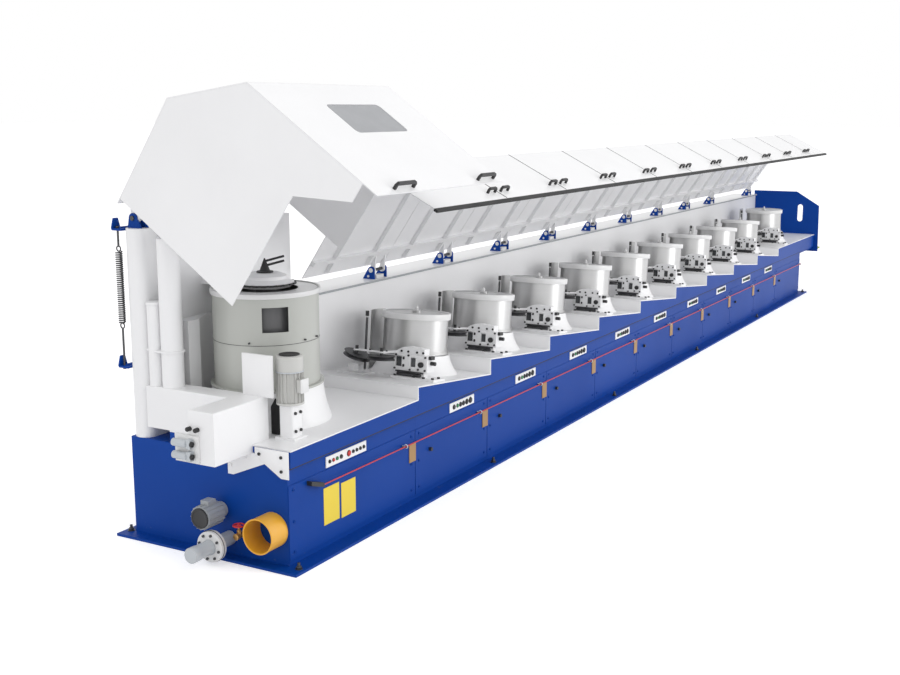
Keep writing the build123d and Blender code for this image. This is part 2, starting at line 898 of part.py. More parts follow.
pump_place = (front_y + 620, 340)
with BuildPart() as pump:
    with BuildSketch(Plane.YZ.offset(near_x)):
        with Locations(pump_place):
            Circle(pump_radius * 0.7)
    extrude(amount=-60)
    with BuildSketch(Plane.YZ.offset(near_x - 60)):
        with Locations(pump_place):
            Circle(pump_radius)
            with PolarLocations(pump_radius, 16):
                Rectangle(12, 4)
    extrude(amount=60 - pump_reach)
    with BuildSketch(Plane.XY.offset(pump_place[1] + pump_radius - 6)):
        with Locations((near_x - 140, pump_place[0])):
            Rectangle(80, 70)
    extrude(amount=36)
pump.part.label = "pump"
export_step(pump.part, "parts/pump.step")

pipe_place = (front_y + 550, 140)
flange_x = near_x - 200
with BuildPart() as suction_pipe:
    with BuildSketch(Plane.YZ.offset(near_x)):
        with Locations(pipe_place):
            Circle(pipe_radius)
    extrude(amount=-pipe_reach)
    with BuildSketch(Plane.YZ.offset(flange_x)):
        with Locations(pipe_place):
            Circle(flange_radius)
            with PolarLocations(flange_radius * 0.8, 8):
                Circle(8, mode=Mode.SUBTRACT)
            Circle(pipe_radius, mode=Mode.SUBTRACT)
    extrude(amount=-flange_thickness, both=True)
suction_pipe.part.label = "suction_pipe"
export_step(suction_pipe.part, "parts/suction_pipe.step")

valve_place = (front_y + 410, 200)
with BuildPart() as drain_valve:
    with BuildSketch(Plane.YZ.offset(near_x)):
        with Locations(valve_place):
            Circle(22)
    extrude(amount=-110)
    with BuildSketch(Plane.XY.offset(valve_place[1])):
        with Locations((near_x - 70, valve_place[0])):
            Circle(15)
    extrude(amount=70)
    with BuildSketch(Plane.XY.offset(valve_place[1] + 70)):
        with Locations((near_x - 70, valve_place[0])):
            Circle(45)
            with PolarLocations(26, 3):
                Circle(11, mode=Mode.SUBTRACT)
    extrude(amount=12)
drain_valve.part.label = "drain_valve"
export_step(drain_valve.part, "parts/drain_valve.step")

# Lower covers, latches, knobs and labels along the front
panel_face_y = face_y - cover_panel_thickness
cover_edges = [near_x, first_step_x] + bay_starts[1:] + [far_x]
with BuildPart() as front_covers:
    for start, end in zip(cover_edges[:-1], cover_edges[1:]):
        with BuildSketch(side(face_y)):
            with Locations(((start + end) / 2, (cover_panel_bottom_z + cover_panel_top_z) / 2)):
                Rectangle(
                    end - start - cover_panel_gap, cover_panel_top_z - cover_panel_bottom_z
                )
        extrude(amount=cover_panel_thickness)
front_covers.part.label = "front_covers"
export_step(front_covers.part, "parts/front_covers.step")

with BuildPart() as latch_strips:
    with BuildSketch(side(panel_face_y)):
        with Locations(*[(start - 47, (latch_bottom_z + latch_top_z) / 2) for start in bay_starts]):
            Rectangle(latch_width, latch_top_z - latch_bottom_z)
    extrude(amount=latch_thickness)
latch_strips.part.label = "latch_strips"
export_step(latch_strips.part, "parts/latch_strips.step")

with BuildPart() as label_plates:
    with BuildSketch(side(panel_face_y)):
        with Locations((near_x + 508, 328)):
            Rectangle(194, 278)
        with Locations((near_x + 724, 314)):
            Rectangle(186, 266)
    extrude(amount=label_thickness)
label_plates.part.label = "label_plates"
export_step(label_plates.part, "parts/label_plates.step")

# Button plates with their push buttons
button_row_z = button_plate_bottom_z + button_plate_height / 2
near_plate_x = near_x + 706
plate_centres = [start + 779 for start in bay_starts[:-1]]
with BuildPart() as button_plates:
    with BuildSketch(side(face_y)):
        with Locations((near_plate_x, button_row_z)):
            Rectangle(near_button_plate_length, button_plate_height)
        with Locations(*[(x, button_row_z) for x in plate_centres]):
            Rectangle(button_plate_length, button_plate_height)
    extrude(amount=button_plate_thickness)
button_plates.part.label = "button_plates"
export_step(button_plates.part, "parts/button_plates.step")

button_face = side(face_y - button_plate_thickness)
button_step = 66
with BuildPart() as push_buttons:
    with BuildSketch(button_face):
        with Locations(*[(near_plate_x + (i - 2.5) * button_step, button_row_z) for i in range(3)]):
            RegularPolygon(button_radius, 8)
        with Locations(*[
            (x + (i - 2) * button_step, button_row_z) for x in plate_centres for i in range(3)
        ]):
            RegularPolygon(button_radius, 8)
    extrude(amount=button_depth)
    with BuildSketch(button_face):
        with Locations((near_plate_x + 0.5 * button_step, button_row_z)):
            RegularPolygon(button_radius, 8)
        with Locations(*[(x + button_step, button_row_z) for x in plate_centres]):
            RegularPolygon(button_radius, 8)
    extrude(amount=button_depth)
    with BuildSketch(button_face):
        with Locations((near_plate_x + 1.5 * button_step, button_row_z)):
            RegularPolygon(button_radius * 1.4, 8)
        with Locations(*[(x + 2 * button_step, button_row_z) for x in plate_centres]):
            RegularPolygon(button_radius * 1.4, 8)
    extrude(amount=button_depth * 2)
push_buttons.part.label = "push_buttons"
export_step(push_buttons.part, "parts/push_buttons.step")

# Emergency pull rope on its brackets
rope_start_x = near_x + 369
rope_end_x = far_x - 60
with BuildPart() as pull_rope:
    with BuildSketch(Plane.YZ.offset(rope_start_x)):
        with Locations((face_y - rope_stand_off, rope_z)):
            RegularPolygon(rope_radius, 8)
    extrude(amount=rope_end_x - rope_start_x)
pull_rope.part.label = "pull_rope"
export_step(pull_rope.part, "parts/pull_rope.step")

with BuildPart() as rope_brackets:
    with BuildSketch(Plane.XY.offset(rope_z - rope_radius - 5)):
        with Locations(*[
            (x, face_y - cover_panel_thickness - rope_stand_off / 2)
            for x in [start - 190 for start in bay_starts] + [rope_end_x - 20]
        ]):
            Rectangle(30, rope_stand_off)
    extrude(amount=5)
    with BuildSketch(side(panel_face_y)):
        Polygon(
            (rope_start_x - 153, rope_z + 66),
            (rope_start_x - 153, rope_z + 34),
            (rope_start_x, rope_z - 14),
            (rope_start_x, rope_z + 18),
            align=None,
        )
    extrude(amount=rope_stand_off + 8)
    with BuildSketch(side(panel_face_y)):
        with Locations(*[(start + 232, 385) for start in bay_starts]):
            RegularPolygon(17, 8)
    extrude(amount=24)
rope_brackets.part.label = "rope_brackets"
export_step(rope_brackets.part, "parts/rope_brackets.step")

# Far end plate with the wire slot, and the take-off wheel on its bracket
wheel_x = deck_end_x + end_plate_thickness + 120
wheel_y = front_y - 30
wheel_z = 700
end_back_y = wall_y + 20
with BuildPart() as far_end_plate:
    with BuildSketch(Plane.YZ.offset(deck_end_x)):
        Polygon(
            (end_back_y, 1690),
            (front_y + 340, 1690),
            (front_y - 60, 1448),
            (front_y - 77, 640),
            (end_back_y, 640),
            align=None,
        )
        with Locations((front_y + 265, (slot_bottom_z + slot_top_z) / 2)):
            SlotOverall(slot_top_z - slot_bottom_z, slot_width, rotation=90, mode=Mode.SUBTRACT)
    extrude(amount=end_plate_thickness)
    with BuildSketch(Plane.XY.offset(wheel_z - 30)):
        with Locations(((deck_end_x + end_plate_thickness + wheel_x + 40) / 2, wheel_y + 20)):
            Rectangle(wheel_x + 40 - deck_end_x - end_plate_thickness, 80)
    extrude(amount=14)
far_end_plate.part.label = "far_end_plate"
export_step(far_end_plate.part, "parts/far_end_plate.step")

with BuildPart() as take_off_wheel:
    with BuildSketch(Plane(origin=(wheel_x, wheel_y, wheel_z - 16), x_dir=(1, 0, 0), z_dir=(0, -1, 0))):
        Polygon(
            (0, 0),
            (wheel_radius, 0),
            (wheel_radius - 12, wheel_width / 2),
            (wheel_radius, wheel_width),
            (0, wheel_width),
            align=None,
        )
    revolve(axis=Axis((wheel_x, wheel_y, 0), (0, 0, 1)))
take_off_wheel.part.label = "take_off_wheel"
export_step(take_off_wheel.part, "parts/take_off_wheel.step")

# Hinges of both hoods: ears and brackets on the wall and column, with their pins
hinge_stations = [first_step_x + 1156 + k * bay_pitch for k in range(sloped_bays + 1)]
hinge_stations[-1] = deck_end_x - 380
ear_reach = 100
bracket_stations = (near_x + bracket_inset, first_step_x - panel_slit - bracket_inset)
with BuildPart() as hinge_ears:
    for station in hinge_stations:
        for end in (-1, 1):
            with BuildSketch(Plane.YZ.offset(station + end * ear_reach - ear_thickness / 2)):
                with Locations(hinge):
                    Circle(ear_radius)
                Polygon(
                    (wall_y + 6, wall_top_z),
                    (wall_y + 130, wall_top_z),
                    (hinge[0] + ear_radius * 0.8, hinge_z + ear_radius * 0.6),
                    (hinge[0] - ear_radius, hinge_z),
                    align=None,
                )
                with Locations(hinge):
                    Circle(pin_radius, mode=Mode.SUBTRACT)
            extrude(amount=ear_thickness)
    for station in bracket_stations:
        for start in (
            station - big_lug_width / 2 - running_gap - ear_thickness,
            station + big_lug_width / 2 + running_gap,
        ):
            with BuildSketch(Plane.YZ.offset(start)):
                with Locations(big_hinge):
                    Circle(big_ear_radius)
                Polygon(
                    (big_hinge[0] - 80, tall_wall_top_z),
                    (big_hinge[0] + 50, tall_wall_top_z),
                    (big_hinge[0] + big_ear_radius, big_hinge_z),
                    (big_hinge[0] - big_ear_radius, big_hinge_z),
                    align=None,
                )
                with Locations(big_hinge):
                    Circle(big_pin_radius, mode=Mode.SUBTRACT)
            extrude(amount=ear_thickness)
hinge_ears.part.label = "hinge_ears"
export_step(hinge_ears.part, "parts/hinge_ears.step")

pin_length = 2 * ear_reach + ear_thickness + 16
big_pin_length = big_lug_width + 2 * (running_gap + ear_thickness) + 16
with BuildPart() as hinge_pins:
    for station in hinge_stations:
        with BuildSketch(Plane.YZ.offset(station - pin_length / 2)):
            with Locations(hinge):
                Circle(pin_radius)
        extrude(amount=pin_length)
    for station in bracket_stations:
        with BuildSketch(Plane.YZ.offset(station - big_pin_length / 2)):
            with Locations(big_hinge):
                Circle(big_pin_radius)
        extrude(amount=big_pin_length)
hinge_pins.part.label = "hinge_pins"
export_step(hinge_pins.part, "parts/hinge_pins.step")

# Long hood, turned open about its hinge
hood_outer = [
    (hood_front_offset, hood_bottom_z),
    (hood_front_offset, hood_front_top_z),
    (hood_roof_back_offset, hood_roof_back_z),
]
hood_start_x = first_step_x + hood_end_gap
hood_end_x = deck_end_x - 137
seams = [hood_start_x + k * bay_pitch for k in range(1, sloped_bays + 2)]
panel_starts = [hood_start_x] + [seam + hood_seam / 2 for seam in seams]
panel_ends = [seam - hood_seam / 2 for seam in seams] + [hood_end_x]


def inner_line(points, depth):
    """Line inside an open hood outline at a constant depth, its corners mitred."""
    normals = []
    for (y0, z0), (y1, z1) in zip(points[:-1], points[1:]):
        normals.append(Vector(z1 - z0, y0 - y1).normalized())
    inner = []
    for i, (y, z) in enumerate(points):
        first = normals[max(i - 1, 0)]
        second = normals[min(i, len(normals) - 1)]
        step = (first + second) * (depth / (1 + first.dot(second)))
        inner.append((y + step.X, z + step.Y))
    return inner


hood_inner = inner_line(hood_outer, hood_sheet)
rib_line = inner_line(hood_outer, hood_sheet + rib_depth)
roof_rise = (hood_roof_back_z - hood_front_top_z) / (hood_roof_back_offset - hood_front_offset)


def on_line(line, offset):
    """Point on the roof stretch of a hood line at the given distance from the front."""
    return (offset, line[1][1] + (offset - line[1][0]) * roof_rise)


for name, first, last in (("hood_front_panels", 0, 1), ("hood_roof_panels", 1, 2)):
    profile = [hood_outer[first], hood_outer[last], hood_inner[last], hood_inner[first]]
    with BuildPart() as hood_panels:
        for start, end in zip(panel_starts, panel_ends):
            with BuildSketch(Plane.YZ.offset(start)):
                Polygon(*opened(profile, hinge, hood_open_angle), align=None)
            extrude(amount=end - start)
    hood_panels.part.label = name
    export_step(hood_panels.part, f"parts/{name}.step")

rib_places = [
    start + (end - start) * (2 * i + 1) / (2 * ribs_per_panel) - rib_width / 2
    for start, end in zip(panel_starts, panel_ends)
    for i in range(ribs_per_panel)
]
front_rib = [
    (hood_inner[0][0], hood_bottom_z + 30),
    hood_inner[1],
    rib_line[1],
    (rib_line[0][0], hood_bottom_z + 60),
]
front_rail = [
    (hood_inner[0][0], hood_bottom_z + 6),
    (hood_inner[0][0], hood_bottom_z + 36),
    (hood_inner[0][0] + 24, hood_bottom_z + 36),
    (hood_inner[0][0] + 24, hood_bottom_z + 6),
]
with BuildPart() as hood_front_ribs:
    with BuildSketch(Plane.YZ.offset(hood_start_x)):
        Polygon(*opened(front_rail, hinge, hood_open_angle), align=None)
    extrude(amount=hood_end_x - hood_start_x)
    for place in rib_places:
        with BuildSketch(Plane.YZ.offset(place)):
            Polygon(*opened(front_rib, hinge, hood_open_angle), align=None)
        extrude(amount=rib_width)
hood_front_ribs.part.label = "hood_front_ribs"
export_step(hood_front_ribs.part, "parts/hood_front_ribs.step")

roof_rib = [
    hood_inner[1],
    on_line(hood_inner, 1060),
    on_line(rib_line, 1050),
    rib_line[1],
]
roof_rail = [
    on_line(hood_inner, 900),
    on_line(hood_inner, 940),
    on_line(rib_line, 940),
    on_line(rib_line, 900),
]
lug_reach = ear_reach - ear_thickness - 8
lug_radius = 30
lug_profile = [
    on_line(hood_inner, 985),
    on_line(hood_inner, hood_roof_back_offset - 2),
    (hinge_y_offset + 20, hinge_z + 20),
    (hinge_y_offset - 20, hinge_z - 20),
]
with BuildPart() as hood_roof_ribs:
    with BuildSketch(Plane.YZ.offset(hood_start_x)):
        Polygon(*opened(roof_rail, hinge, hood_open_angle), align=None)
    extrude(amount=hood_end_x - hood_start_x)
    for place in rib_places:
        with BuildSketch(Plane.YZ.offset(place)):
            Polygon(*opened(roof_rib, hinge, hood_open_angle), align=None)
        extrude(amount=rib_width)
    for station in hinge_stations:
        for end in (-1, 1):
            with BuildSketch(Plane.YZ.offset(station + end * lug_reach - ear_thickness / 2)):
                Polygon(*opened(lug_profile, hinge, hood_open_angle), align=None)
                with Locations(hinge):
                    Circle(lug_radius)
                    Circle(pin_radius + pin_clearance, mode=Mode.SUBTRACT)
            extrude(amount=ear_thickness)
hood_roof_ribs.part.label = "hood_roof_ribs"
export_step(hood_roof_ribs.part, "parts/hood_roof_ribs.step")

seal_profile = [
    (hood_front_offset, hood_bottom_z - seal_height),
    (hood_front_offset, hood_bottom_z),
    (hood_front_offset + seal_depth, hood_bottom_z),
    (hood_front_offset + seal_depth, hood_bottom_z - seal_height),
]
with BuildPart() as hood_seal:
    with BuildSketch(Plane.YZ.offset(hood_start_x)):
        Polygon(*opened(seal_profile, hinge, hood_open_angle), align=None)
    extrude(amount=hood_end_x - hood_start_x)
hood_seal.part.label = "hood_seal"
export_step(hood_seal.part, "parts/hood_seal.step")

def handle_plane(x, line, rise, pivot, angle):
    """Plane across a bow handle, with its Y standing out of the opened front panel."""
    place = opened([(line[0][0], line[0][1] + rise)], pivot, angle)[0]
    c, s = cos(radians(angle)), sin(radians(angle))
    return Plane(origin=(x, *place), x_dir=(1, 0, 0), z_dir=(0, -s, -c))


def handle_grip(length):
    """Outline of the grip of a bow handle, over its two feet."""
    half = length / 2
    return [
        (-half, handle_height - handle_bar),
        (-half + handle_bar, handle_height),
        (half - handle_bar, handle_height),
        (half, handle_height - handle_bar),
    ]


def foot_places(length):
    """Middles of the two feet of a bow handle."""
    reach = (length - handle_bar) / 2
    return [(end * reach, (handle_height - handle_bar) / 2) for end in (-1, 1)]


handle_planes = [
    handle_plane(seam + end * handle_inset, hood_outer, handle_rise, hinge, hood_open_angle)
    for seam in seams
    for end in (-1, 1)
]
with BuildPart() as hood_handles:
    for place in handle_planes:
        with BuildSketch(place):
            Polygon(*handle_grip(handle_length), align=None)
        extrude(amount=handle_bar / 2, both=True)
hood_handles.part.label = "hood_handles"
export_step(hood_handles.part, "parts/hood_handles.step")

with BuildPart() as hood_handle_feet:
    for place in handle_planes:
        with BuildSketch(place):
            with Locations(*foot_places(handle_length)):
                Rectangle(handle_bar, handle_height - handle_bar)
        extrude(amount=handle_bar / 2, both=True)
hood_handle_feet.part.label = "hood_handle_feet"
export_step(hood_handle_feet.part, "parts/hood_handle_feet.step")

# Large hood, turned open about its own hinge
big_outer = [
    (big_front_offset, big_bottom_z),
    (big_front_offset, big_front_top_z),
    (big_slope_back_offset, big_roof_z),
    (big_roof_back_offset, big_roof_z),
]
big_inner = inner_line(big_outer, big_sheet)
big_start_x = near_x - big_left_gap - big_sheet
big_end_x = first_step_x - big_right_gap
window_centre_x = near_x + window_x_offset
window_centre = opened(
    [(big_front_offset, window_bottom_z + window_height / 2)], big_hinge, big_open_angle
)[0]
window_plane = Plane(
    origin=(window_centre_x, *window_centre),
    x_dir=(1, 0, 0),
    z_dir=(0, -cos(radians(big_open_angle)), sin(radians(big_open_angle))),
)
with BuildPart() as big_hood_front:
    front_profile = [big_outer[0], big_outer[1], big_inner[1], big_inner[0]]
    with BuildSketch(Plane.YZ.offset(big_start_x)):
        Polygon(*opened(front_profile, big_hinge, big_open_angle), align=None)
    extrude(amount=big_end_x - big_start_x)
    with BuildSketch(window_plane):
        RectangleRounded(window_width, window_height, window_corner)
    extrude(amount=2 * big_sheet, both=True, mode=Mode.SUBTRACT)
big_hood_front.part.label = "big_hood_front"
export_step(big_hood_front.part, "parts/big_hood_front.step")

with BuildPart() as big_hood_window:
    with BuildSketch(window_plane.offset(-2)):
        RectangleRounded(window_width, window_height, window_corner)
    extrude(amount=-4)
big_hood_window.part.label = "big_hood_window"
export_step(big_hood_window.part, "parts/big_hood_window.step")

big_lug = [
    (big_roof_back_offset - 130, big_inner[3][1]),
    (big_roof_back_offset, big_inner[3][1]),
    (big_hinge_y_offset + 24, big_hinge_z + 24),
    (big_hinge_y_offset - 24, big_hinge_z - 24),
]
with BuildPart() as big_hood_roof:
    for first in (1, 2):
        profile = [big_outer[first], big_outer[first + 1], big_inner[first + 1], big_inner[first]]
        with BuildSketch(Plane.YZ.offset(big_start_x)):
            Polygon(*opened(profile, big_hinge, big_open_angle), align=None)
        extrude(amount=big_end_x - big_start_x)
    for station in bracket_stations:
        with BuildSketch(Plane.YZ.offset(station - big_lug_width / 2)):
            Polygon(*opened(big_lug, big_hinge, big_open_angle), align=None)
            with Locations(big_hinge):
                Circle(big_ear_radius - 2)
                Circle(big_pin_radius + pin_clearance, mode=Mode.SUBTRACT)
        extrude(amount=big_lug_width)
big_hood_roof.part.label = "big_hood_roof"
export_step(big_hood_roof.part, "parts/big_hood_roof.step")

side_top = [
    big_inner[1],
    big_inner[2],
    (big_back_edge_offset, big_inner[3][1]),
]
left_side = side_top + [
    (big_back_edge_offset, big_side_cut_z),
    (big_side_corner_offset, big_side_cut_z),
    (big_front_offset + big_side_strip, big_side_bottom_z),
    (big_inner[0][0], big_side_bottom_z),
]
right_side = side_top + [
    (big_back_edge_offset, big_right_bottom_z),
    (big_inner[0][0], big_right_bottom_z),
]
with BuildPart() as big_hood_sides:
    for outline, start in ((left_side, big_start_x), (right_side, big_end_x - big_sheet)):
        with BuildSketch(Plane.YZ.offset(start)):
            Polygon(*opened(outline, big_hinge, big_open_angle), align=None)
        extrude(amount=big_sheet)
big_hood_sides.part.label = "big_hood_sides"
export_step(big_hood_sides.part, "parts/big_hood_sides.step")

with BuildPart() as big_hood_handles:
    for x in (near_x + big_handle_ends[0], first_step_x - big_handle_ends[1]):
        with BuildSketch(handle_plane(x, big_outer, 42, big_hinge, big_open_angle)):
            Polygon(*handle_grip(big_handle_length), align=None)
            with Locations(*foot_places(big_handle_length)):
                Rectangle(handle_bar, handle_height - handle_bar)
        extrude(amount=handle_bar / 2, both=True)
big_hood_handles.part.label = "big_hood_handles"
export_step(big_hood_handles.part, "parts/big_hood_handles.step")
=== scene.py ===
import json
import math

import bmesh
import bpy
from mathutils import Matrix, Vector


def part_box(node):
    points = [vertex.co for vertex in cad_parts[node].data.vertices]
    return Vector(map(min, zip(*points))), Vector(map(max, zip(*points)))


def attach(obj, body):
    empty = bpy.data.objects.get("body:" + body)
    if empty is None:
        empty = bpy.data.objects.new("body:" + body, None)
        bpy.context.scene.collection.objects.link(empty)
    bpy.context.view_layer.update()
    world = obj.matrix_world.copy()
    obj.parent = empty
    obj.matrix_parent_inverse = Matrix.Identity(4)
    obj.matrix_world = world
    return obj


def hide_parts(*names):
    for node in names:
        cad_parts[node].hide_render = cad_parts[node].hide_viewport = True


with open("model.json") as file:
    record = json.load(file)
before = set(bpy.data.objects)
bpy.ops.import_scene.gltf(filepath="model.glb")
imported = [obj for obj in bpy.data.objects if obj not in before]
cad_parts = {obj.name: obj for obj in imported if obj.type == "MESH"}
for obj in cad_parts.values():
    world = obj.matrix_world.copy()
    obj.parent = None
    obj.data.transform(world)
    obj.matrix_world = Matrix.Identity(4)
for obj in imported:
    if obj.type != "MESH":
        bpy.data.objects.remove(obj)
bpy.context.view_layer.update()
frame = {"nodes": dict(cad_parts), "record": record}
nodes = frame["nodes"]
bpy.ops.object.select_all(action="DESELECT")


# Shader maths as Python expressions

MIX_FACTOR, MIX_FIRST, MIX_SECOND, MIX_COLOUR = 0, 6, 7, 2  # sockets of a colour Mix node
EDGE_SAMPLES = 4


class Value:
    """A socket of a finish, with arithmetic that adds Math nodes."""

    def __init__(self, finish, socket):
        self.finish = finish
        self.socket = socket

    def maths(self, operation, *others):
        return self.finish.add("ShaderNodeMath", {"operation": operation}, [self, *others])

    def __add__(self, other):
        return self.maths("ADD", other)

    __radd__ = __add__

    def __mul__(self, other):
        return self.maths("MULTIPLY", other)

    def __sub__(self, other):
        return self.maths("SUBTRACT", other)

    def __rsub__(self, other):
        return self.finish.add("ShaderNodeMath", {"operation": "SUBTRACT"}, [other, self])

    def __truediv__(self, other):
        return self.maths("DIVIDE", other)

    def clamped(self):
        return self.finish.add("ShaderNodeClamp", {}, [self])

    def above(self, edge, softness):
        """0 below the edge and 1 above it, over a soft step."""
        return ((self - edge) / softness + 0.5).clamped()


class Finish:
    """A named material that is built from shader nodes."""

    def __init__(self, name):
        self.material = bpy.data.materials.new(name)
        self.material.use_nodes = True
        self.tree = self.material.node_tree
        self.tree.nodes.clear()
        self.place = None

    def add(self, kind, settings=None, inputs=(), output=0):
        """Adds a node with its settings, then the values or links of its sockets."""
        node = self.tree.nodes.new(kind)
        for key, value in (settings or {}).items():
            setattr(node, key, value)
        pairs = inputs.items() if isinstance(inputs, dict) else enumerate(inputs)
        for key, value in pairs:
            socket = node.inputs[key]
            if isinstance(value, Value):
                self.tree.links.new(value.socket, socket)
            elif isinstance(value, (tuple, list)) and len(socket.default_value) == 4:
                socket.default_value = (*value, 1)
            else:
                socket.default_value = value
        return Value(self, node.outputs[output])

    def position(self, scale=(1, 1, 1)):
        """Object coordinates, stretched by the given scale."""
        if self.place is None:
            self.place = self.add("ShaderNodeTexCoord", {}, {}, "Object")
        if scale == (1, 1, 1):
            return self.place
        return self.add("ShaderNodeMapping", {}, {"Vector": self.place, "Scale": scale})

    def height(self):
        """The Z of the object coordinates."""
        return self.add("ShaderNodeSeparateXYZ", {}, {"Vector": self.position()}, "Z")

    def noise(self, scale, detail=3, stretch=(1, 1, 1), roughness=0.5):
        return self.add(
            "ShaderNodeTexNoise",
            {},
            {
                "Vector": self.position(stretch),
                "Scale": scale,
                "Detail": detail,
                "Roughness": roughness,
            },
        )

    def mix(self, factor, first, second):
        """Colour between the first and the second."""
        node = self.tree.nodes.new("ShaderNodeMix")
        node.data_type = "RGBA"
        for key, value in ((MIX_FACTOR, factor), (MIX_FIRST, first), (MIX_SECOND, second)):
            socket = node.inputs[key]
            if isinstance(value, Value):
                self.tree.links.new(value.socket, socket)
            else:
                socket.default_value = (*value, 1)
        return Value(self, node.outputs[MIX_COLOUR])

    def bump(self, height, strength, distance, edge=0.0):
        """Relief from a value, over edges that look rounded where an edge radius is given."""
        inputs = {"Height": height, "Strength": strength, "Distance": distance}
        if edge:
            inputs["Normal"] = self.add(
                "ShaderNodeBevel", {"samples": EDGE_SAMPLES}, {"Radius": edge}
            )
        return self.add("ShaderNodeBump", {}, inputs)

    def surface(self, **sockets):
        """Finishes the material with one surface shader."""
        shader = self.tree.nodes.new("ShaderNodeBsdfPrincipled")
        names = {name.replace(" ", "_").lower(): name for name in shader.inputs.keys()}
        for key, value in sockets.items():
            socket = shader.inputs[names[key]]
            if isinstance(value, Value):
                self.tree.links.new(value.socket, socket)
            elif isinstance(value, (tuple, list)):
                socket.default_value = (*value, 1)
            else:
                socket.default_value = value
        output = self.tree.nodes.new("ShaderNodeOutputMaterial")
        self.tree.links.new(shader.outputs[0], output.inputs[0])
        return self.material


# Finishes


def painted(name, colour, shade, roughness, dust, edge=0.003):
    """Sprayed or powder-coated sheet metal: soft orange peel, faint dust, rounded edges."""
    finish = Finish(name)
    peel = finish.noise(220, detail=2)
    cloud = finish.noise(1.3, detail=4)
    smear = finish.noise(5, detail=5, stretch=(1, 1, 0.35), roughness=0.6)
    worn = smear.above(0.62, softness=0.2) * dust
    tone = finish.mix(cloud.above(0.5, softness=0.5), colour, shade)
    dusty = [0.55 * channel + 0.28 for channel in shade]
    return finish.surface(
        base_color=finish.mix(worn, tone, dusty),
        roughness=roughness + cloud * 0.08 + worn * 0.4,
        coat_weight=0.15,
        normal=finish.bump(peel, strength=0.05, distance=0.002, edge=edge),
    )


def blue_sheet():
    """Cobalt blue paint with scuffs near the floor."""
    finish = Finish("blue_paint")
    height = finish.height()
    peel = finish.noise(240, detail=2)
    cloud = finish.noise(0.9, detail=4)
    scuff = finish.noise(34, detail=6, stretch=(0.25, 1, 1), roughness=0.7)
    low = 1 - height.above(0.12, softness=0.18)
    dust = (scuff.above(0.66, softness=0.05) * low * 0.5).clamped()
    tone = finish.mix(
        cloud.above(0.5, softness=0.5), (0.001, 0.052, 0.320), (0.001, 0.043, 0.270)
    )
    return finish.surface(
        base_color=finish.mix(dust, tone, (0.10, 0.13, 0.24)),
        roughness=0.42 + cloud * 0.1 + dust * 0.3,
        specular_ior_level=0.14,
        normal=finish.bump(peel, strength=0.05, distance=0.002, edge=0.003),
    )


def brushed_steel():
    """Ground block steel: brushed around, with darker bands where the wire runs."""
    finish = Finish("block_steel")
    rings = finish.noise(5, detail=3, stretch=(0.3, 0.3, 90), roughness=0.5)
    band_tone = finish.noise(1.6, detail=2, stretch=(0.4, 0.4, 9), roughness=0.4)
    cloud = finish.noise(3, detail=3)
    return finish.surface(
        base_color=finish.mix(
            rings * 0.5 + band_tone * 0.5, (0.46, 0.46, 0.46), (0.58, 0.58, 0.58)
        ),
        metallic=0.75,
        roughness=0.27 + rings * 0.06 + cloud * 0.04,
        normal=finish.bump(rings, strength=0.05, distance=0.001, edge=0.002),
    )


def dark_pane():
    """Dark clear sheet in the die box windows."""
    finish = Finish("dark_glass")
    haze = finish.noise(14, detail=3)
    return finish.surface(
        base_color=finish.mix(haze, (0.035, 0.038, 0.042), (0.10, 0.105, 0.11)),
        roughness=0.10 + haze * 0.12,
        coat_weight=0.4,
    )


def moulded(name, colour, shade):
    """Coloured plastic of push buttons."""
    finish = Finish(name)
    grain = finish.noise(300, detail=2)
    cloud = finish.noise(30, detail=2)
    return finish.surface(
        base_color=finish.mix(cloud, colour, shade),
        roughness=0.3 + grain * 0.1,
        normal=finish.bump(grain, strength=0.06, distance=0.001, edge=0.001),
    )


def machine_grey():
    """Cast and painted grey housing of motors and pumps."""
    finish = Finish("grey_paint")
    grain = finish.noise(160, detail=4)
    cloud = finish.noise(9, detail=4)
    return finish.surface(
        base_color=finish.mix(cloud, (0.30, 0.32, 0.34), (0.42, 0.44, 0.46)),
        roughness=0.46 + cloud * 0.14,
        metallic=0.1,
        normal=finish.bump(grain, strength=0.18, distance=0.001, edge=0.002),
    )


def dark_steel():
    """Oiled, blackened steel."""
    finish = Finish("dark_steel")
    grain = finish.noise(90, detail=5)
    cloud = finish.noise(14, detail=3)
    return finish.surface(
        base_color=finish.mix(cloud, (0.045, 0.046, 0.05), (0.12, 0.12, 0.125)),
        metallic=0.8,
        roughness=0.3 + grain * 0.2,
        normal=finish.bump(grain, strength=0.1, distance=0.001, edge=0.002),
    )


def black_moulding():
    """Matte black moulded plastic."""
    finish = Finish("black_plastic")
    grain = finish.noise(420, detail=2)
    cloud = finish.noise(12, detail=3)
    return finish.surface(
        base_color=finish.mix(cloud, (0.010, 0.010, 0.011), (0.024, 0.024, 0.026)),
        roughness=0.42 + grain * 0.16,
        normal=finish.bump(grain, strength=0.14, distance=0.001, edge=0.002),
    )


def seal_rubber():
    """Extruded black rubber with a dusty bloom."""
    finish = Finish("seal_rubber")
    bloom = finish.noise(18, detail=4, stretch=(0.3, 1, 1))
    return finish.surface(
        base_color=finish.mix(
            bloom.above(0.5, softness=0.5), (0.012, 0.012, 0.013), (0.04, 0.04, 0.04)
        ),
        roughness=0.7 + bloom * 0.15,
        normal=finish.bump(bloom, strength=0.1, distance=0.001),
    )


def cast_brass():
    """Dull brass with dark handling marks."""
    finish = Finish("brass")
    cloud = finish.noise(22, detail=5)
    grain = finish.noise(180, detail=2)
    return finish.surface(
        base_color=finish.mix(cloud, (0.42, 0.22, 0.07), (0.62, 0.38, 0.14)),
        metallic=0.75,
        roughness=0.36 + cloud * 0.18,
        normal=finish.bump(grain, strength=0.08, distance=0.001, edge=0.001),
    )


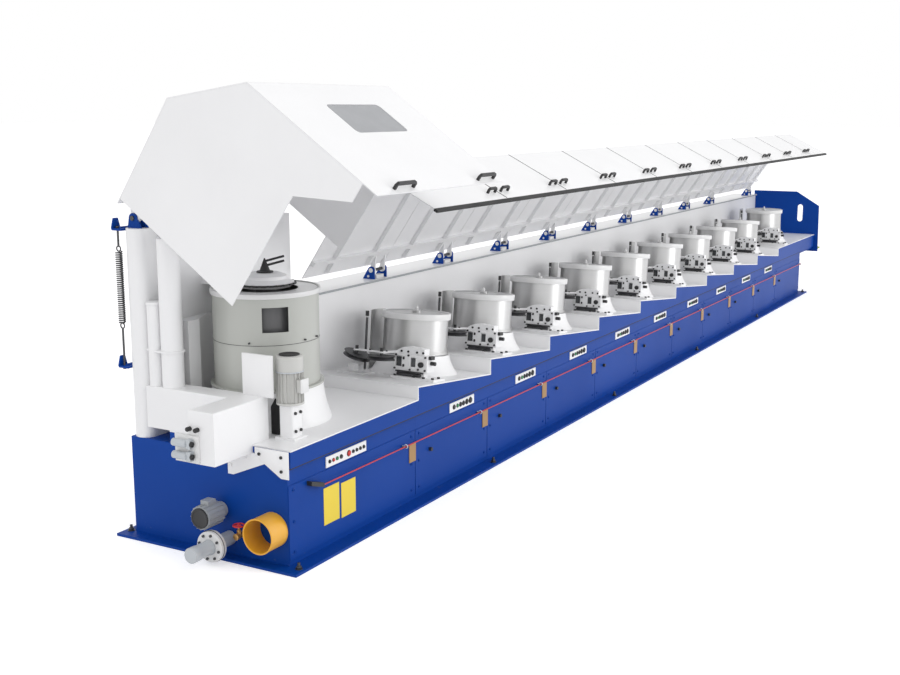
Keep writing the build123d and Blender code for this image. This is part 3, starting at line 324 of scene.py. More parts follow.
def red_jacket():
    """Red plastic jacket of the pull rope."""
    finish = Finish("red_cover")
    twist = finish.noise(8, detail=2, stretch=(60, 1, 1))
    return finish.surface(
        base_color=finish.mix(twist, (0.48, 0.015, 0.02), (0.62, 0.03, 0.03)),
        roughness=0.36 + twist * 0.1,
        normal=finish.bump(twist, strength=0.2, distance=0.001),
    )


def smoked_window():
    """Smoked clear sheet in the large hood."""
    finish = Finish("window_tint")
    haze = finish.noise(3, detail=4)
    return finish.surface(
        base_color=finish.mix(haze, (0.30, 0.31, 0.33), (0.42, 0.43, 0.45)),
        roughness=0.12 + haze * 0.1,
        alpha=0.72 + haze * 0.1,
    )


blue_paint = blue_sheet()
white_paint = painted("white_paint", (0.88, 0.88, 0.89), (0.84, 0.84, 0.85), 0.36, 0.06)
yellow_paint = painted("yellow_paint", (0.85, 0.44, 0.03), (0.78, 0.38, 0.02), 0.4, 0.15)
label_yellow = painted("label_yellow", (0.86, 0.66, 0.04), (0.80, 0.60, 0.03), 0.45, 0.10)
block_steel = brushed_steel()
grey_paint = machine_grey()
oiled_steel = dark_steel()
black_plastic = black_moulding()
rubber = seal_rubber()
brass = cast_brass()
red_cover = red_jacket()
window_tint = smoked_window()
lid_white = painted("lid_white", (0.78, 0.78, 0.78), (0.70, 0.70, 0.70), 0.32, 0.08, 0.001)
housing_grey = painted("housing_grey", (0.50, 0.51, 0.48), (0.45, 0.46, 0.43), 0.36, 0.10)
machine_paint = painted("machine_paint", (0.54, 0.57, 0.60), (0.46, 0.49, 0.52), 0.4, 0.15)
latch_tan = painted("latch_tan", (0.40, 0.22, 0.07), (0.33, 0.18, 0.06), 0.45, 0.15)
wheel_green = painted("wheel_green", (0.42, 0.50, 0.04), (0.34, 0.42, 0.03), 0.4, 0.15)
dark_glass = dark_pane()
# The drum's dark grey is painted shade: it stands in for the shade inside the housing port
drum_shade_grey = painted("drum_shade_grey", (0.15, 0.15, 0.155), (0.10, 0.10, 0.105), 0.32, 0.10)
motor_paint = painted("motor_paint", (0.58, 0.58, 0.56), (0.50, 0.50, 0.48), 0.40, 0.15)
red_cap = moulded("red_cap", (0.62, 0.02, 0.015), (0.50, 0.015, 0.012))
green_cap = moulded("green_cap", (0.02, 0.26, 0.08), (0.015, 0.20, 0.06))

slot_finishes = {
    "blue_paint": blue_paint,
    "white_paint": white_paint,
    "yellow_paint": yellow_paint,
    "block_steel": block_steel,
    "grey_paint": grey_paint,
    "dark_steel": oiled_steel,
    "black_plastic": black_plastic,
    "seal_rubber": rubber,
    "brass": brass,
    "red_cover": red_cover,
    "window_tint": window_tint,
}
node_finishes = {
    "label_plates": label_yellow,
    "take_up_housing": housing_grey,
    "take_up_drum": drum_shade_grey,
    "traverse_motor": motor_paint,
    "latch_strips": latch_tan,
    "take_off_wheel": wheel_green,
    "suction_pipe": machine_paint,
}
node_slots = {part["node"]: part["material_slot"] for part in frame["record"]["subparts"]}
for name, node in nodes.items():
    for slot in node.material_slots:
        slot.material = node_finishes.get(name, slot_finishes[node_slots[name]])


# Modelling helpers

ALONG_X = (0, math.pi / 2, 0)  # turns that lay the Z of a blank along an axis
ALONG_Y = (-math.pi / 2, 0, 0)
UP, DOWN = (0, 0, 1), (0, 0, -1)  # ways that a face can look
TO_FRONT = (0, -1, 0)
TO_NEAR_END, TO_FAR_END = (-1, 0, 0), (1, 0, 0)
SAME_WAY = 0.9  # least cosine between a face and the way it looks
SHARP_EDGE = math.radians(30)
SMOOTH_UP_TO = math.radians(35)


def blank_added():
    """The primitive that was added last, with its place moved into its mesh."""
    bpy.ops.object.transform_apply(location=True, rotation=True, scale=True)
    return bpy.context.object


def cylinder(radius, depth, place=(0, 0, 0), turn=(0, 0, 0), sides=32, ends="NGON"):
    """A turned blank of the given size at its place."""
    bpy.ops.object.select_all(action="DESELECT")
    bpy.ops.mesh.primitive_cylinder_add(
        vertices=sides,
        radius=radius,
        depth=depth,
        end_fill_type=ends,
        location=place,
        rotation=turn,
    )
    return blank_added()


def block_blank(size, place=(0, 0, 0), turn=(0, 0, 0)):
    """A rectangular blank of the given size at its place."""
    bpy.ops.object.select_all(action="DESELECT")
    bpy.ops.mesh.primitive_cube_add(size=1, location=place, rotation=turn, scale=size)
    return blank_added()


def ring(radius, tube, place=(0, 0, 0), turn=(0, 0, 0), sides=20, round_sides=8):
    """A round bar bent into a ring."""
    bpy.ops.object.select_all(action="DESELECT")
    bpy.ops.mesh.primitive_torus_add(
        major_radius=radius,
        minor_radius=tube,
        major_segments=sides,
        minor_segments=round_sides,
        location=place,
        rotation=turn,
    )
    return blank_added()


def with_modifier(piece, kind, **settings):
    """Adds a modifier and applies it."""
    bpy.ops.object.select_all(action="DESELECT")
    piece.select_set(True)
    bpy.context.view_layer.objects.active = piece
    modifier = piece.modifiers.new("shape", kind)
    for key, value in settings.items():
        setattr(modifier, key, value)
    bpy.ops.object.modifier_apply(modifier=modifier.name)
    return piece


def rounded(piece, width, segments=2):
    """Rounds the sharp edges of a piece."""
    return with_modifier(
        piece,
        "BEVEL",
        width=width,
        segments=segments,
        limit_method="ANGLE",
        angle_limit=SHARP_EDGE,
    )


def hoop(radius, width, wall, place, turn=(0, 0, 0), sides=64, side=-1, edge=0.003, segments=2):
    """A closed band. Its wall lies inside (-1), outside (1) or on both sides (0) of the radius."""
    band = cylinder(radius, width, place, turn, sides, "NOTHING")
    with_modifier(band, "SOLIDIFY", thickness=wall, offset=side)
    return rounded(band, edge, segments)


def work_faces(piece, chosen, *steps):
    """Runs edit-mode steps on the faces that the test picks."""
    bpy.ops.object.select_all(action="DESELECT")
    piece.select_set(True)
    bpy.context.view_layer.objects.active = piece
    bpy.ops.object.mode_set(mode="EDIT")
    bpy.ops.mesh.select_mode(type="FACE")
    mesh = bmesh.from_edit_mesh(piece.data)
    for face in mesh.faces:
        face.select_set(chosen(face))
    bmesh.update_edit_mesh(piece.data)
    for step in steps:
        step()
    bpy.ops.object.mode_set(mode="OBJECT")
    return piece


def every_face(face):
    return True


def facing(way):
    """Test for faces that look one way."""
    direction = Vector(way)
    return lambda face: face.normal.dot(direction) > SAME_WAY


def inset(thickness):
    return lambda: bpy.ops.mesh.inset(thickness=thickness)


def pushed(way, distance):
    """Extrudes the chosen faces one way."""
    shift = [distance * part for part in way]
    return lambda: bpy.ops.mesh.extrude_region_move(TRANSFORM_OT_translate={"value": shift})


def stepped(piece, way, margin, step):
    """Sets the faces that look one way out by a step, or in below zero, inside a margin."""
    return work_faces(piece, facing(way), inset(margin), pushed(way, step))


def cut_off(piece, point, normal):
    """Cuts away what lies beyond a plane and closes the cut."""
    return work_faces(
        piece,
        every_face,
        lambda: bpy.ops.mesh.bisect(
            plane_co=point, plane_no=normal, use_fill=True, clear_outer=True
        ),
    )


def joined(*pieces):
    """Several blanks made one piece."""
    bpy.ops.object.select_all(action="DESELECT")
    for piece in pieces:
        piece.select_set(True)
    bpy.context.view_layer.objects.active = pieces[0]
    if len(pieces) > 1:
        bpy.ops.object.join()
    return bpy.context.object


def copied(model, place):
    """A copy with its own mesh, moved by a matrix."""
    piece = model.copy()
    piece.data = model.data.copy()
    bpy.context.collection.objects.link(piece)
    piece.data.transform(place)
    return piece


def row_of(model, places):
    """Copies of one model at every place, made one piece. The model is used up."""
    pieces = [copied(model, place) for place in places]
    bpy.data.objects.remove(model)
    return joined(*pieces)


def finished(piece, name, finish, body="frame", stands_for=()):
    """Names a piece, gives it its finish and lets it ride on its body."""
    piece.name = name
    piece.data.name = name
    piece.data.materials.clear()
    piece.data.materials.append(finish)
    bpy.ops.object.select_all(action="DESELECT")
    piece.select_set(True)
    bpy.context.view_layer.objects.active = piece
    bpy.ops.object.shade_smooth_by_angle(angle=SMOOTH_UP_TO)
    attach(piece, body)
    if stands_for:
        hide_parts(*stands_for)
    return piece


def at_place(x, y, z):
    return Matrix.Translation((x, y, z))


# Places on the machine, in metres

near_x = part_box("base_frame")[0][0]
far_x = -near_x
front_y = -0.730
face_y = -0.700
back_y = 0.730
near_deck_z = 0.856
step_top_z = 0.962
last_deck_z = 0.941
pitch = 1.250
bay_count = 10
fall = 0.138 / pitch
tilt = math.atan(fall)
first_step_x = near_x + 1.680
bay_starts = [first_step_x + k * pitch for k in range(bay_count)]
block_y = -0.195
block_run = 0.825
last_block_run = 1.046
bay_places = [
    at_place(start + block_run, block_y, step_top_z - fall * block_run)
    @ Matrix.Rotation(tilt, 4, "Y")
    for start in bay_starts[:-1]
]
bay_places.append(at_place(bay_starts[-1] + last_block_run, block_y, last_deck_z))
take_up_x, take_up_y = near_x + 0.668, -0.030
take_up_place = at_place(take_up_x, take_up_y, near_deck_z)
hinge_y, hinge_z = 0.390, 1.700
hood_hinge = Vector((0, hinge_y, hinge_z))
hood_open_angle = math.radians(63)
hood_opened = (
    Matrix.Translation(hood_hinge)
    @ Matrix.Rotation(-hood_open_angle, 4, "X")
    @ Matrix.Translation(-hood_hinge)
)

# Lid rims and knobs of the drawing blocks

lid_foot = 0.468
lid_rim = hoop(
    0.2985, 0.052, 0.0035, (0, 0, lid_foot + 0.031), sides=96, side=1, edge=0.0012
)
lid_knob = cylinder(0.013, 0.030, (0, 0, lid_foot + 0.083), sides=20)
rounded(stepped(lid_knob, UP, 0.004, 0.010), 0.002)
for k, place in enumerate(bay_places, 1):
    for model, name in ((lid_rim, f"lid_rim_{k}"), (lid_knob, f"lid_knob_{k}")):
        finished(copied(model, place), name, lid_white, f"block_{k}")
bpy.data.objects.remove(lid_rim)
bpy.data.objects.remove(lid_knob)

# Screws and windows of the die boxes

die_face_x = -0.485
upright = Matrix.Identity(4)
facing_near_end = Matrix.Rotation(math.radians(-90), 4, "Y")


def cap_screw(radius, depth, place, turned):
    """Socket screw with a dished head."""
    screw = cylinder(radius, depth, sides=10)
    stepped(screw, UP, radius * 0.42, -depth * 0.5)
    screw.data.transform(Matrix.Translation(place) @ turned)
    return screw


face_screws = (
    (-0.110, 0.195), (-0.232, 0.196), (-0.395, 0.192), (-0.100, 0.080), (-0.250, 0.078),
    (-0.330, 0.086), (-0.395, 0.084),
)
cover_rim_screws = (-0.150, -0.215, -0.300, -0.360)
foot_screws = (
    (-0.510, -0.120), (-0.512, -0.300), (-0.512, -0.400), (-0.500, -0.480), (-0.400, -0.480),
)
bracket_screws = ((-0.560, -0.060), (-0.600, 0.080))
screw_set = []
for radius, depth, turned, places in (
    (0.0085, 0.012, facing_near_end, [(die_face_x - 0.005, y, z) for y, z in face_screws]),
    (0.0095, 0.014, facing_near_end, [(-0.466, y, 0.226) for y in cover_rim_screws]),
    (0.013, 0.014, upright, [(x, y, 0.026) for x, y in foot_screws]),
    (0.009, 0.010, upright, [(x, y, 0.222) for x, y in bracket_screws]),
):
    screw_set += [cap_screw(radius, depth, place, turned) for place in places]
die_screws = rounded(joined(*screw_set), 0.001, 1)
finished(row_of(die_screws, bay_places), "die_box_screws", black_plastic)

panes = []
for across, width, tall in ((-0.135, 0.058, 0.084), (-0.275, 0.048, 0.076)):
    pane = block_blank((0.006, width, tall), (die_face_x + 0.014, across, 0.136))
    panes.append(stepped(pane, TO_NEAR_END, 0.008, -0.002))
die_panes = rounded(joined(*panes), 0.0008, 1)
finished(row_of(die_panes, bay_places), "die_box_panes", dark_glass)

# Take-up housing: bright rim, foot ring, sheet seam and studs

rim = hoop(0.4065, 0.036, 0.0135, (0, 0, 0.974), sides=128)
rim.data.transform(take_up_place)
finished(rim, "housing_rim", lid_white)
foot_ring = hoop(0.422, 0.016, 0.030, (0, 0, 0.283), sides=128)
foot_ring.data.transform(take_up_place)
finished(foot_ring, "housing_foot_ring", housing_grey)
seam = hoop(
    0.3925, 0.0034, 0.0034, (0, 0, 0.620), sides=128, side=0, edge=0.0008, segments=1
)
seam.data.transform(take_up_place)
finished(seam, "housing_seam", oiled_steel)
stud_circle, stud_z = 0.393, 0.640
studs = []
for angle in (262, 284, 200):
    turn = math.radians(angle)
    stud = cylinder(
        0.007,
        0.034,
        (stud_circle * math.cos(turn), stud_circle * math.sin(turn), stud_z),
        (math.pi / 2, 0, turn + math.pi / 2),
        sides=12,
    )
    studs.append(rounded(stud, 0.002, 1))
stud_set = joined(*studs)
stud_set.data.transform(take_up_place)
finished(stud_set, "housing_studs", oiled_steel)

# Traverse motor: fan grille, cowl band and foot bolts

motor_x, motor_y, motor_z = near_x + 0.280, front_y + 0.200, 1.106
grille = cylinder(0.074, 0.006, (motor_x, motor_y, motor_z + 0.3525), sides=40)
smallest_grille_face = 0.0008
for step in (-0.002, 0.0015, -0.002):
    work_faces(
        grille,
        lambda face: face.normal.z > SAME_WAY and face.calc_area() > smallest_grille_face,
        inset(0.012),
        pushed(UP, step),
    )
finished(rounded(grille, 0.0008, 1), "fan_grille", black_plastic)
cowl = hoop(
    0.0985, 0.010, 0.003, (motor_x, motor_y, motor_z + 0.236), sides=48, side=1, edge=0.001
)
finished(cowl, "cowl_band", machine_paint)
foot_bolts = []
for x in (-0.030, 0.030):
    for height in (0.060, 0.190):
        bolt_place = (motor_x + x, motor_y - 0.066, near_deck_z + height)
        foot_bolts.append(rounded(cylinder(0.012, 0.014, bolt_place, ALONG_Y, 6), 0.0015, 1))
finished(joined(*foot_bolts), "motor_foot_bolts", black_plastic)

# Winding head: cone with two fingers, toothed ring and the plate that closes the housing

head_z = 1.851
bpy.ops.object.select_all(action="DESELECT")
bpy.ops.mesh.primitive_cone_add(
    vertices=32,
    radius1=0.044,
    radius2=0.004,
    depth=0.105,
    location=(take_up_x, take_up_y, head_z + 0.1565),
)
cone = stepped(blank_added(), DOWN, 0.006, -0.004)
cone_foot = rounded(cylinder(0.062, 0.014, (take_up_x, take_up_y, head_z + 0.108)), 0.003)
finger_length = 0.150
finger_line = Vector((0.492, -0.870, 0.27)).normalized()
finger_turn = finger_line.to_track_quat("Z", "Y").to_euler()
fingers = []
for height in (0.186, 0.152):
    root = Vector((take_up_x, take_up_y, head_z + height))
    middle = root + finger_line * (finger_length / 2)
    fingers.append(rounded(cylinder(0.0085, finger_length, middle, finger_turn, 14), 0.003))
toothed = cylinder(
    0.220, 0.014, (take_up_x, take_up_y, head_z + 0.027), sides=72, ends="NOTHING"
)
work_faces(
    toothed,
    lambda face: face.index % 3 != 0,
    lambda: bpy.ops.mesh.inset(thickness=0.0004, depth=0.011),
)
with_modifier(toothed, "SOLIDIFY", thickness=0.003, offset=-1)
finished(
    joined(cone, cone_foot, toothed, *fingers),
    "winding_fingers_shape",
    black_plastic,
    stands_for=["winding_fingers"],
)
top_plate = hoop(
    0.3915, 0.006, 0.150, (take_up_x, take_up_y, 1.838), sides=96, edge=0.001, segments=1
)
finished(top_plate, "housing_top_plate", lid_white)

# Air valves on the traverse nose, the plates around the motor and the gusset

nose_x, nose_y = near_x - 0.400, front_y + 0.320
valve_row_x = nose_x - 0.052
valve_plate = block_blank((0.024, 0.200, 0.190), (nose_x - 0.012, nose_y + 0.220, 0.905))
stepped(valve_plate, TO_NEAR_END, 0.010, 0.002)
finished(
    rounded(valve_plate, 0.004), "valve_plate", lid_white, stands_for=["air_valves"]
)
bodies, ends = [], []
for height in (0.948, 0.862):
    body = cylinder(0.027, 0.120, (valve_row_x, nose_y + 0.250, height), ALONG_Y, 28)
    clamp = block_blank((0.044, 0.036, 0.066), (nose_x - 0.044, nose_y + 0.172, height))
    stepped(clamp, TO_FRONT, 0.006, -0.003)
    bodies += [rounded(body, 0.004), rounded(clamp, 0.005)]
    end = cylinder(0.019, 0.016, (valve_row_x, nose_y + 0.148, height), ALONG_Y, 20)
    ends.append(rounded(stepped(end, TO_FRONT, 0.006, -0.005), 0.002))
for across in (0.135, 0.203):
    knob = cylinder(0.016, 0.034, (nose_x - 0.016, nose_y + across, 1.040), ALONG_X, 16)
    ends.append(rounded(stepped(knob, TO_NEAR_END, 0.004, 0.006), 0.003))
finished(
    joined(*bodies),
    "valve_bodies",
    machine_paint,
    stands_for=["air_valves"],
)
cable_plate_y = motor_y + 0.144
cable_plate = block_blank((0.010, 0.080, 0.264), (near_x + 0.295, cable_plate_y, 0.988))
cut_off(cable_plate, (0, cable_plate_y, 1.120), (0, 0.8, 0.5))
ends.append(rounded(cable_plate, 0.002))
finished(
    joined(*ends), "valve_ends", black_plastic, stands_for=["valve_caps"]
)
guard_plate = block_blank((0.018, 0.262, 0.300), (near_x + 0.144, nose_y + 0.054, 1.315))
stepped(guard_plate, TO_NEAR_END, 0.010, 0.0015)
finished(rounded(guard_plate, 0.004), "guard_plate", white_paint)
gusset = block_blank((0.008, 0.288, 0.196), (near_x - 0.017, front_y + 0.146, 0.752))
cut_off(gusset, (0, front_y + 0.070, 0.655), (0, 0.52, -0.85))
finished(rounded(gusset, 0.002), "gusset_plate", white_paint)
gusset_bolts = []
for across, height in ((0.062, 0.806), (0.062, 0.706), (0.250, 0.806)):
    bolt = cylinder(0.012, 0.012, (near_x - 0.025, front_y + across, height), ALONG_X, 6)
    gusset_bolts.append(rounded(stepped(bolt, TO_NEAR_END, 0.004, -0.003), 0.0015, 1))
finished(joined(*gusset_bolts), "gusset_bolts", black_plastic)
terminal_cover = block_blank((0.088, 0.008, 0.098), (motor_x, motor_y - 0.127, motor_z + 0.140))
stepped(terminal_cover, TO_FRONT, 0.008, 0.003)
finished(rounded(terminal_cover, 0.002), "terminal_cover", lid_white)

# Dark sleeves of the sensor rods

sleeve = rounded(cylinder(0.0108, 0.448, (-0.360, 0.280, 0.244), sides=14), 0.0015, 1)
finished(row_of(sleeve, bay_places), "sensor_sleeves", oiled_steel)

# Switch box under the arm of the winding head, and the dark clamps at the foot of the die boxes

arm_box = block_blank((0.100, 0.200, 0.118), (-6.570, 0.505, 1.804))
stepped(arm_box, TO_NEAR_END, 0.010, 0.004)
finished(rounded(arm_box, 0.006), "arm_box", lid_white)
foot_clamp = block_blank((0.022, 0.230, 0.024), (-0.485, -0.240, 0.036))
rounded(stepped(foot_clamp, UP, 0.004, 0.008), 0.003, 1)
foot_rod = rounded(cylinder(0.0075, 0.270, (-0.496, -0.250, 0.060), ALONG_Y, 12), 0.002, 1)
finished(
    row_of(joined(foot_clamp, foot_rod), bay_places), "die_box_clamps", oiled_steel
)

# Balance spring: wound coil, hooks, rods and blue lugs

spring_x, spring_y = near_x + 0.030, back_y + 0.060
coil_radius, coil_wire, coil_rise, coil_turns, coil_foot_z = 0.0225, 0.0052, 0.0155, 34, 1.600
bpy.ops.object.select_all(action="DESELECT")
bpy.ops.mesh.primitive_circle_add(
    vertices=8,
    radius=coil_wire,
    location=(coil_radius, 0, 0),
    rotation=(math.pi / 2, 0, 0),
)
coil = with_modifier(
    blank_added(),
    "SCREW",
    angle=math.radians(360),
    screw_offset=coil_rise,
    iterations=coil_turns,
    steps=16,
    render_steps=16,
    use_merge_vertices=True,
)
work_faces(
    coil,
    every_face,
    lambda: bpy.ops.mesh.remove_doubles(threshold=0.0001),
    lambda: bpy.ops.mesh.normals_make_consistent(inside=False),
)
coil.data.transform(at_place(spring_x, spring_y, coil_foot_z))
hooks = [ring(0.019, 0.005, (spring_x, spring_y, height), ALONG_X) for height in (1.582, 2.148)]
finished(
    joined(coil, *hooks), "spring_coil", oiled_steel, stands_for=["balance_spring"]
)
rods = []
for low, high, nut_z in ((1.265, 1.568, 1.265), (2.160, 2.305, 2.305)):
    rod = cylinder(0.008, high - low, (spring_x, spring_y, (low + high) / 2), sides=14)
    nut = cylinder(0.014, 0.012, (spring_x, spring_y, nut_z), sides=6)
    rods += [rounded(rod, 0.0015, 1), rounded(nut, 0.0015, 1)]
finished(joined(*rods), "spring_rods", oiled_steel, stands_for=["balance_spring"])
lugs = []
for lug_z in (1.278, 2.288):
    lug = block_blank((0.200, 0.094, 0.016), (spring_x + 0.070, back_y + 0.047, lug_z))
    lugs.append(rounded(stepped(lug, UP, 0.030, 0.010), 0.004))
    web = block_blank((0.090, 0.012, 0.076), (spring_x + 0.010, back_y + 0.088, lug_z + 0.042))
    work_faces(web, facing(UP), lambda: bpy.ops.transform.resize(value=(0.5, 1, 1)))
    lugs.append(rounded(web, 0.002))
finished(joined(*lugs), "spring_lugs", blue_paint, stands_for=["balance_spring"])

# Suction flange with its gasket and bolts, and the socket at the end of the pipe

pipe_y, pipe_z, flange_x = front_y + 0.550, 0.140, near_x - 0.200
flange = hoop(0.112, 0.052, 0.058, (flange_x, pipe_y, pipe_z), ALONG_X, edge=0.004)
gasket = hoop(
    0.1125, 0.005, 0.005, (flange_x, pipe_y, pipe_z), ALONG_X, side=0, edge=0.0014, segments=1
)
finished(flange, "suction_flange", lid_white)
finished(gasket, "flange_gasket", rubber)
bolt_circle, bolt_count, first_bolt = 0.088, 8, 12
flange_bolts = []
for step in range(bolt_count):
    turn = math.radians(360 / bolt_count * step + first_bolt)
    for end in (-1, 1):
        bolt_place = (
            flange_x + end * 0.032,
            pipe_y + bolt_circle * math.cos(turn),
            pipe_z + bolt_circle * math.sin(turn),
        )
        flange_bolts.append(rounded(cylinder(0.0105, 0.014, bolt_place, ALONG_X, 6), 0.0015, 1))
finished(joined(*flange_bolts), "flange_bolts", oiled_steel)
pipe_socket = hoop(0.056, 0.070, 0.010, (near_x - 0.386, pipe_y, pipe_z), ALONG_X, 40)
finished(pipe_socket, "pipe_socket", machine_paint)

# Drain valve with its red wheel

valve_x, valve_y, valve_z = near_x - 0.070, front_y + 0.410, 0.200
wheel_z = valve_z + 0.076
spoke_run = 0.020
wheel_parts = [ring(0.040, 0.006, (valve_x, valve_y, wheel_z), sides=36, round_sides=10)]
for turn in (20, 140, 260):
    angle = math.radians(turn)
    spoke_place = (
        valve_x + spoke_run * math.cos(angle), valve_y + spoke_run * math.sin(angle), wheel_z
    )
    spoke = cylinder(0.0042, 0.036, spoke_place, (0, math.pi / 2, angle), 10)
    wheel_parts.append(rounded(spoke, 0.001, 1))
hub = cylinder(0.011, 0.018, (valve_x, valve_y, valve_z + 0.075), sides=16)
wheel_parts.append(rounded(hub, 0.003))
finished(joined(*wheel_parts), "valve_wheel", red_cover, stands_for=["drain_valve"])
valve_parts = []
for x, radius, length, sides in (
    (-0.010, 0.024, 0.020, 8), (-0.056, 0.019, 0.084, 24), (-0.100, 0.025, 0.020, 8),
):
    barrel = cylinder(radius, length, (near_x + x, valve_y, valve_z), ALONG_X, sides)
    valve_parts.append(rounded(barrel, 0.003))
bonnet = cylinder(0.017, 0.034, (valve_x, valve_y, valve_z + 0.028), sides=6)
stem = cylinder(0.007, 0.040, (valve_x, valve_y, valve_z + 0.052), sides=14)
valve_parts += [rounded(bonnet, 0.002), rounded(stem, 0.001, 1)]
finished(joined(*valve_parts), "valve_body", brass, stands_for=["drain_valve"])

# Bead of the air duct and fan cover of the pump

duct_bead = hoop(
    0.1235,
    0.010,
    0.009,
    (near_x - 0.178, front_y + 0.160, 0.270),
    ALONG_X,
    sides=72,
    side=0,
    edge=0.0038,
    segments=3,
)
finished(duct_bead, "duct_bead", yellow_paint)
pump_end = cylinder(0.074, 0.014, (near_x - 0.235, front_y + 0.620, 0.340), ALONG_X, 40)
rounded(stepped(pump_end, TO_NEAR_END, 0.014, -0.004), 0.002)
finished(pump_end, "pump_fan_cover", black_plastic)

# Push buttons in their colours: place, radius and colour of each

button_face = face_y - 0.008
button_z = 0.652
cap_height = 0.009
near_plate_length = 0.518
near_plate_start = near_x + 0.706 - near_plate_length / 2
near_row = (
    (0.08, 0.012, "black"), (0.17, 0.012, "red"), (0.26, 0.012, "green"), (0.36, 0.014, "black"),
    (0.55, 0.020, "red"), (0.66, 0.012, "black"), (0.75, 0.012, "black"), (0.84, 0.012, "black"),
    (0.93, 0.012, "black"),
)
bay_plate_run, button_pitch = 0.779, 0.066
bay_row = (
    (-2.2, 0.018, "black"), (-1.3, 0.015, "green"), (-0.5, 0.018, "black"), (0.3, 0.018, "black"),
    (1.2, 0.021, "black"), (2.2, 0.023, "black"),
)
button_spots = [
    (near_plate_start + near_plate_length * part, size, tint) for part, size, tint in near_row
]
for start in bay_starts[:-1]:
    middle = start + bay_plate_run
    button_spots += [(middle + button_pitch * step, size, tint) for step, size, tint in bay_row]
button_cap = cylinder(1, 1, (0, 0, 0.5), sides=20)
rounded(stepped(button_cap, UP, 0.18, 0.22), 0.06, 1)
collar = rounded(cylinder(1.22, 0.35, (0, 0, 0.175), sides=20), 0.06, 1)


def button_place(x, size):
    """Lays a cap of unit size on the button plate, facing the front."""
    return (
        at_place(x, button_face, button_z)
        @ Matrix.Rotation(math.radians(90), 4, "X")
        @ Matrix.Diagonal((size, size, cap_height, 1))
    )


for tint, finish, slot_name in (
    ("black", black_plastic, "black_plastic"),
    ("red", red_cap, "red_cover"),
    ("green", green_cap, "black_plastic"),
):
    places = [button_place(x, size) for x, size, spot_tint in button_spots if spot_tint == tint]
    caps = joined(*[copied(button_cap, place) for place in places])
    finished(caps, f"button_caps_{tint}", finish, stands_for=["push_buttons"])
collars = row_of(collar, [button_place(x, size) for x, size, tint in button_spots])
finished(collars, "button_collars", black_plastic, stands_for=["push_buttons"])
bpy.data.objects.remove(button_cap)

# Seams of the long hood, on the outside of its front and roof

hood_start_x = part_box("hood_front_panels")[0][0]
seam_width, seam_depth = 0.011, 0.0024
hood_front_y, hood_brow_z = -0.794, 1.5905
roof_run, roof_rise = 1.085 + 0.064, 0.152
roof_length = math.hypot(roof_run, roof_rise)
roof_slope = math.atan2(roof_rise, roof_run)
front_strip = block_blank((seam_width, seam_depth, 0.696), (0, hood_front_y - 0.0004, 1.238))
roof_strip = block_blank(
    (seam_width, roof_length - 0.02, seam_depth), (0, 0, 0), (roof_slope, 0, 0)
)
roof_strip.data.transform(
    at_place(0, hood_front_y + roof_run / 2, hood_brow_z + roof_rise / 2)
)
seam_strip = rounded(joined(front_strip, roof_strip), 0.0006, 1)
seam_places = [hood_opened @ at_place(hood_start_x + k * pitch, 0, 0) for k in range(1, 11)]
finished(row_of(seam_strip, seam_places), "hood_seam_strips", rubber, "long_hood")

# Rail under the hinges, washers, bolts and bearings of the hinges

rail = block_blank((13.70, 0.003, 0.018), (1.27, 0.3230, 1.6090))
finished(stepped(rail, TO_FRONT, 0.002, 0.001), "rail_edge", grey_paint)

hinge_run, last_hinge_x = 1.156, 8.135 - 0.380
hinge_stations = [start + hinge_run for start in bay_starts[:-1]] + [last_hinge_x]
ear_face = 0.1095
washer = cylinder(0.021, 0.006, (0, 0, 0), ALONG_X, 24)
rounded(stepped(washer, TO_FAR_END, 0.005, 0.003), 0.001, 1)
washer_places = [
    at_place(station + end * ear_face, hinge_y, hinge_z)
    @ Matrix.Rotation(0 if end > 0 else math.pi, 4, "Z")
    for station in hinge_stations
    for end in (-1, 1)
]
finished(row_of(washer, washer_places), "hinge_washers", lid_white)
ear_bolt = rounded(cylinder(0.012, 0.010, (0, 0, 0), ALONG_X, 6), 0.0015, 1)
bolt_places = [
    at_place(station + end * ear_face, 0.418, 1.645)
    for station in hinge_stations
    for end in (-1, 1)
]
finished(row_of(ear_bolt, bolt_places), "ear_bolts", lid_white)
bearing = block_blank((0.120, 0.052, 0.034))
rounded(stepped(bearing, TO_FRONT, 0.008, -0.004), 0.005)
bearing_places = [at_place(station, 0.386, 1.637) for station in hinge_stations]
finished(row_of(bearing, bearing_places), "hinge_bearings", lid_white)

# Dark rubber strip in the step below the upper band of the front, a painted shadow of the band's
# overhang

band_foot_z = 0.728
# This dark strip paints the shadow that falls under the band's lower edge
band_shadow_strip = block_blank(
    (far_x - near_x - 0.004, 0.028, 0.007), (0, (front_y + face_y) / 2, band_foot_z - 0.0038)
)
finished(stepped(band_shadow_strip, DOWN, 0.004, 0.002), "band_shadow_strip", rubber)

# Eyes of the pull rope, screws of the front covers and nuts of the floor anchors

rope_y, rope_z = face_y - 0.036, 0.515
eye_loop = ring(0.015, 0.004, (0, 0, 0), ALONG_X)
eye_stem = rounded(cylinder(0.005, 0.021, (0, 0.0265, 0), ALONG_Y, 12), 0.001, 1)
rope_eye = joined(eye_loop, eye_stem)
eye_places = [at_place(start - 0.190, rope_y, rope_z) for start in bay_starts]
eye_places.append(at_place(far_x - 0.080, rope_y, rope_z))
finished(row_of(rope_eye, eye_places), "rope_eyes", lid_white)

cover_edges = [near_x, first_step_x, *bay_starts[1:], far_x]
screw_margin = 0.060
cover_screw = cylinder(0.011, 0.005, (0, 0, 0), ALONG_Y, 14)
stepped(cover_screw, TO_FRONT, 0.004, -0.002)
screw_places = [
    at_place(x, face_y - 0.0065, height)
    for start, end in zip(cover_edges[:-1], cover_edges[1:])
    for x in (start + screw_margin, end - screw_margin)
    for height in (0.110, 0.330, 0.560)
]
finished(row_of(cover_screw, screw_places), "cover_screws", blue_paint)

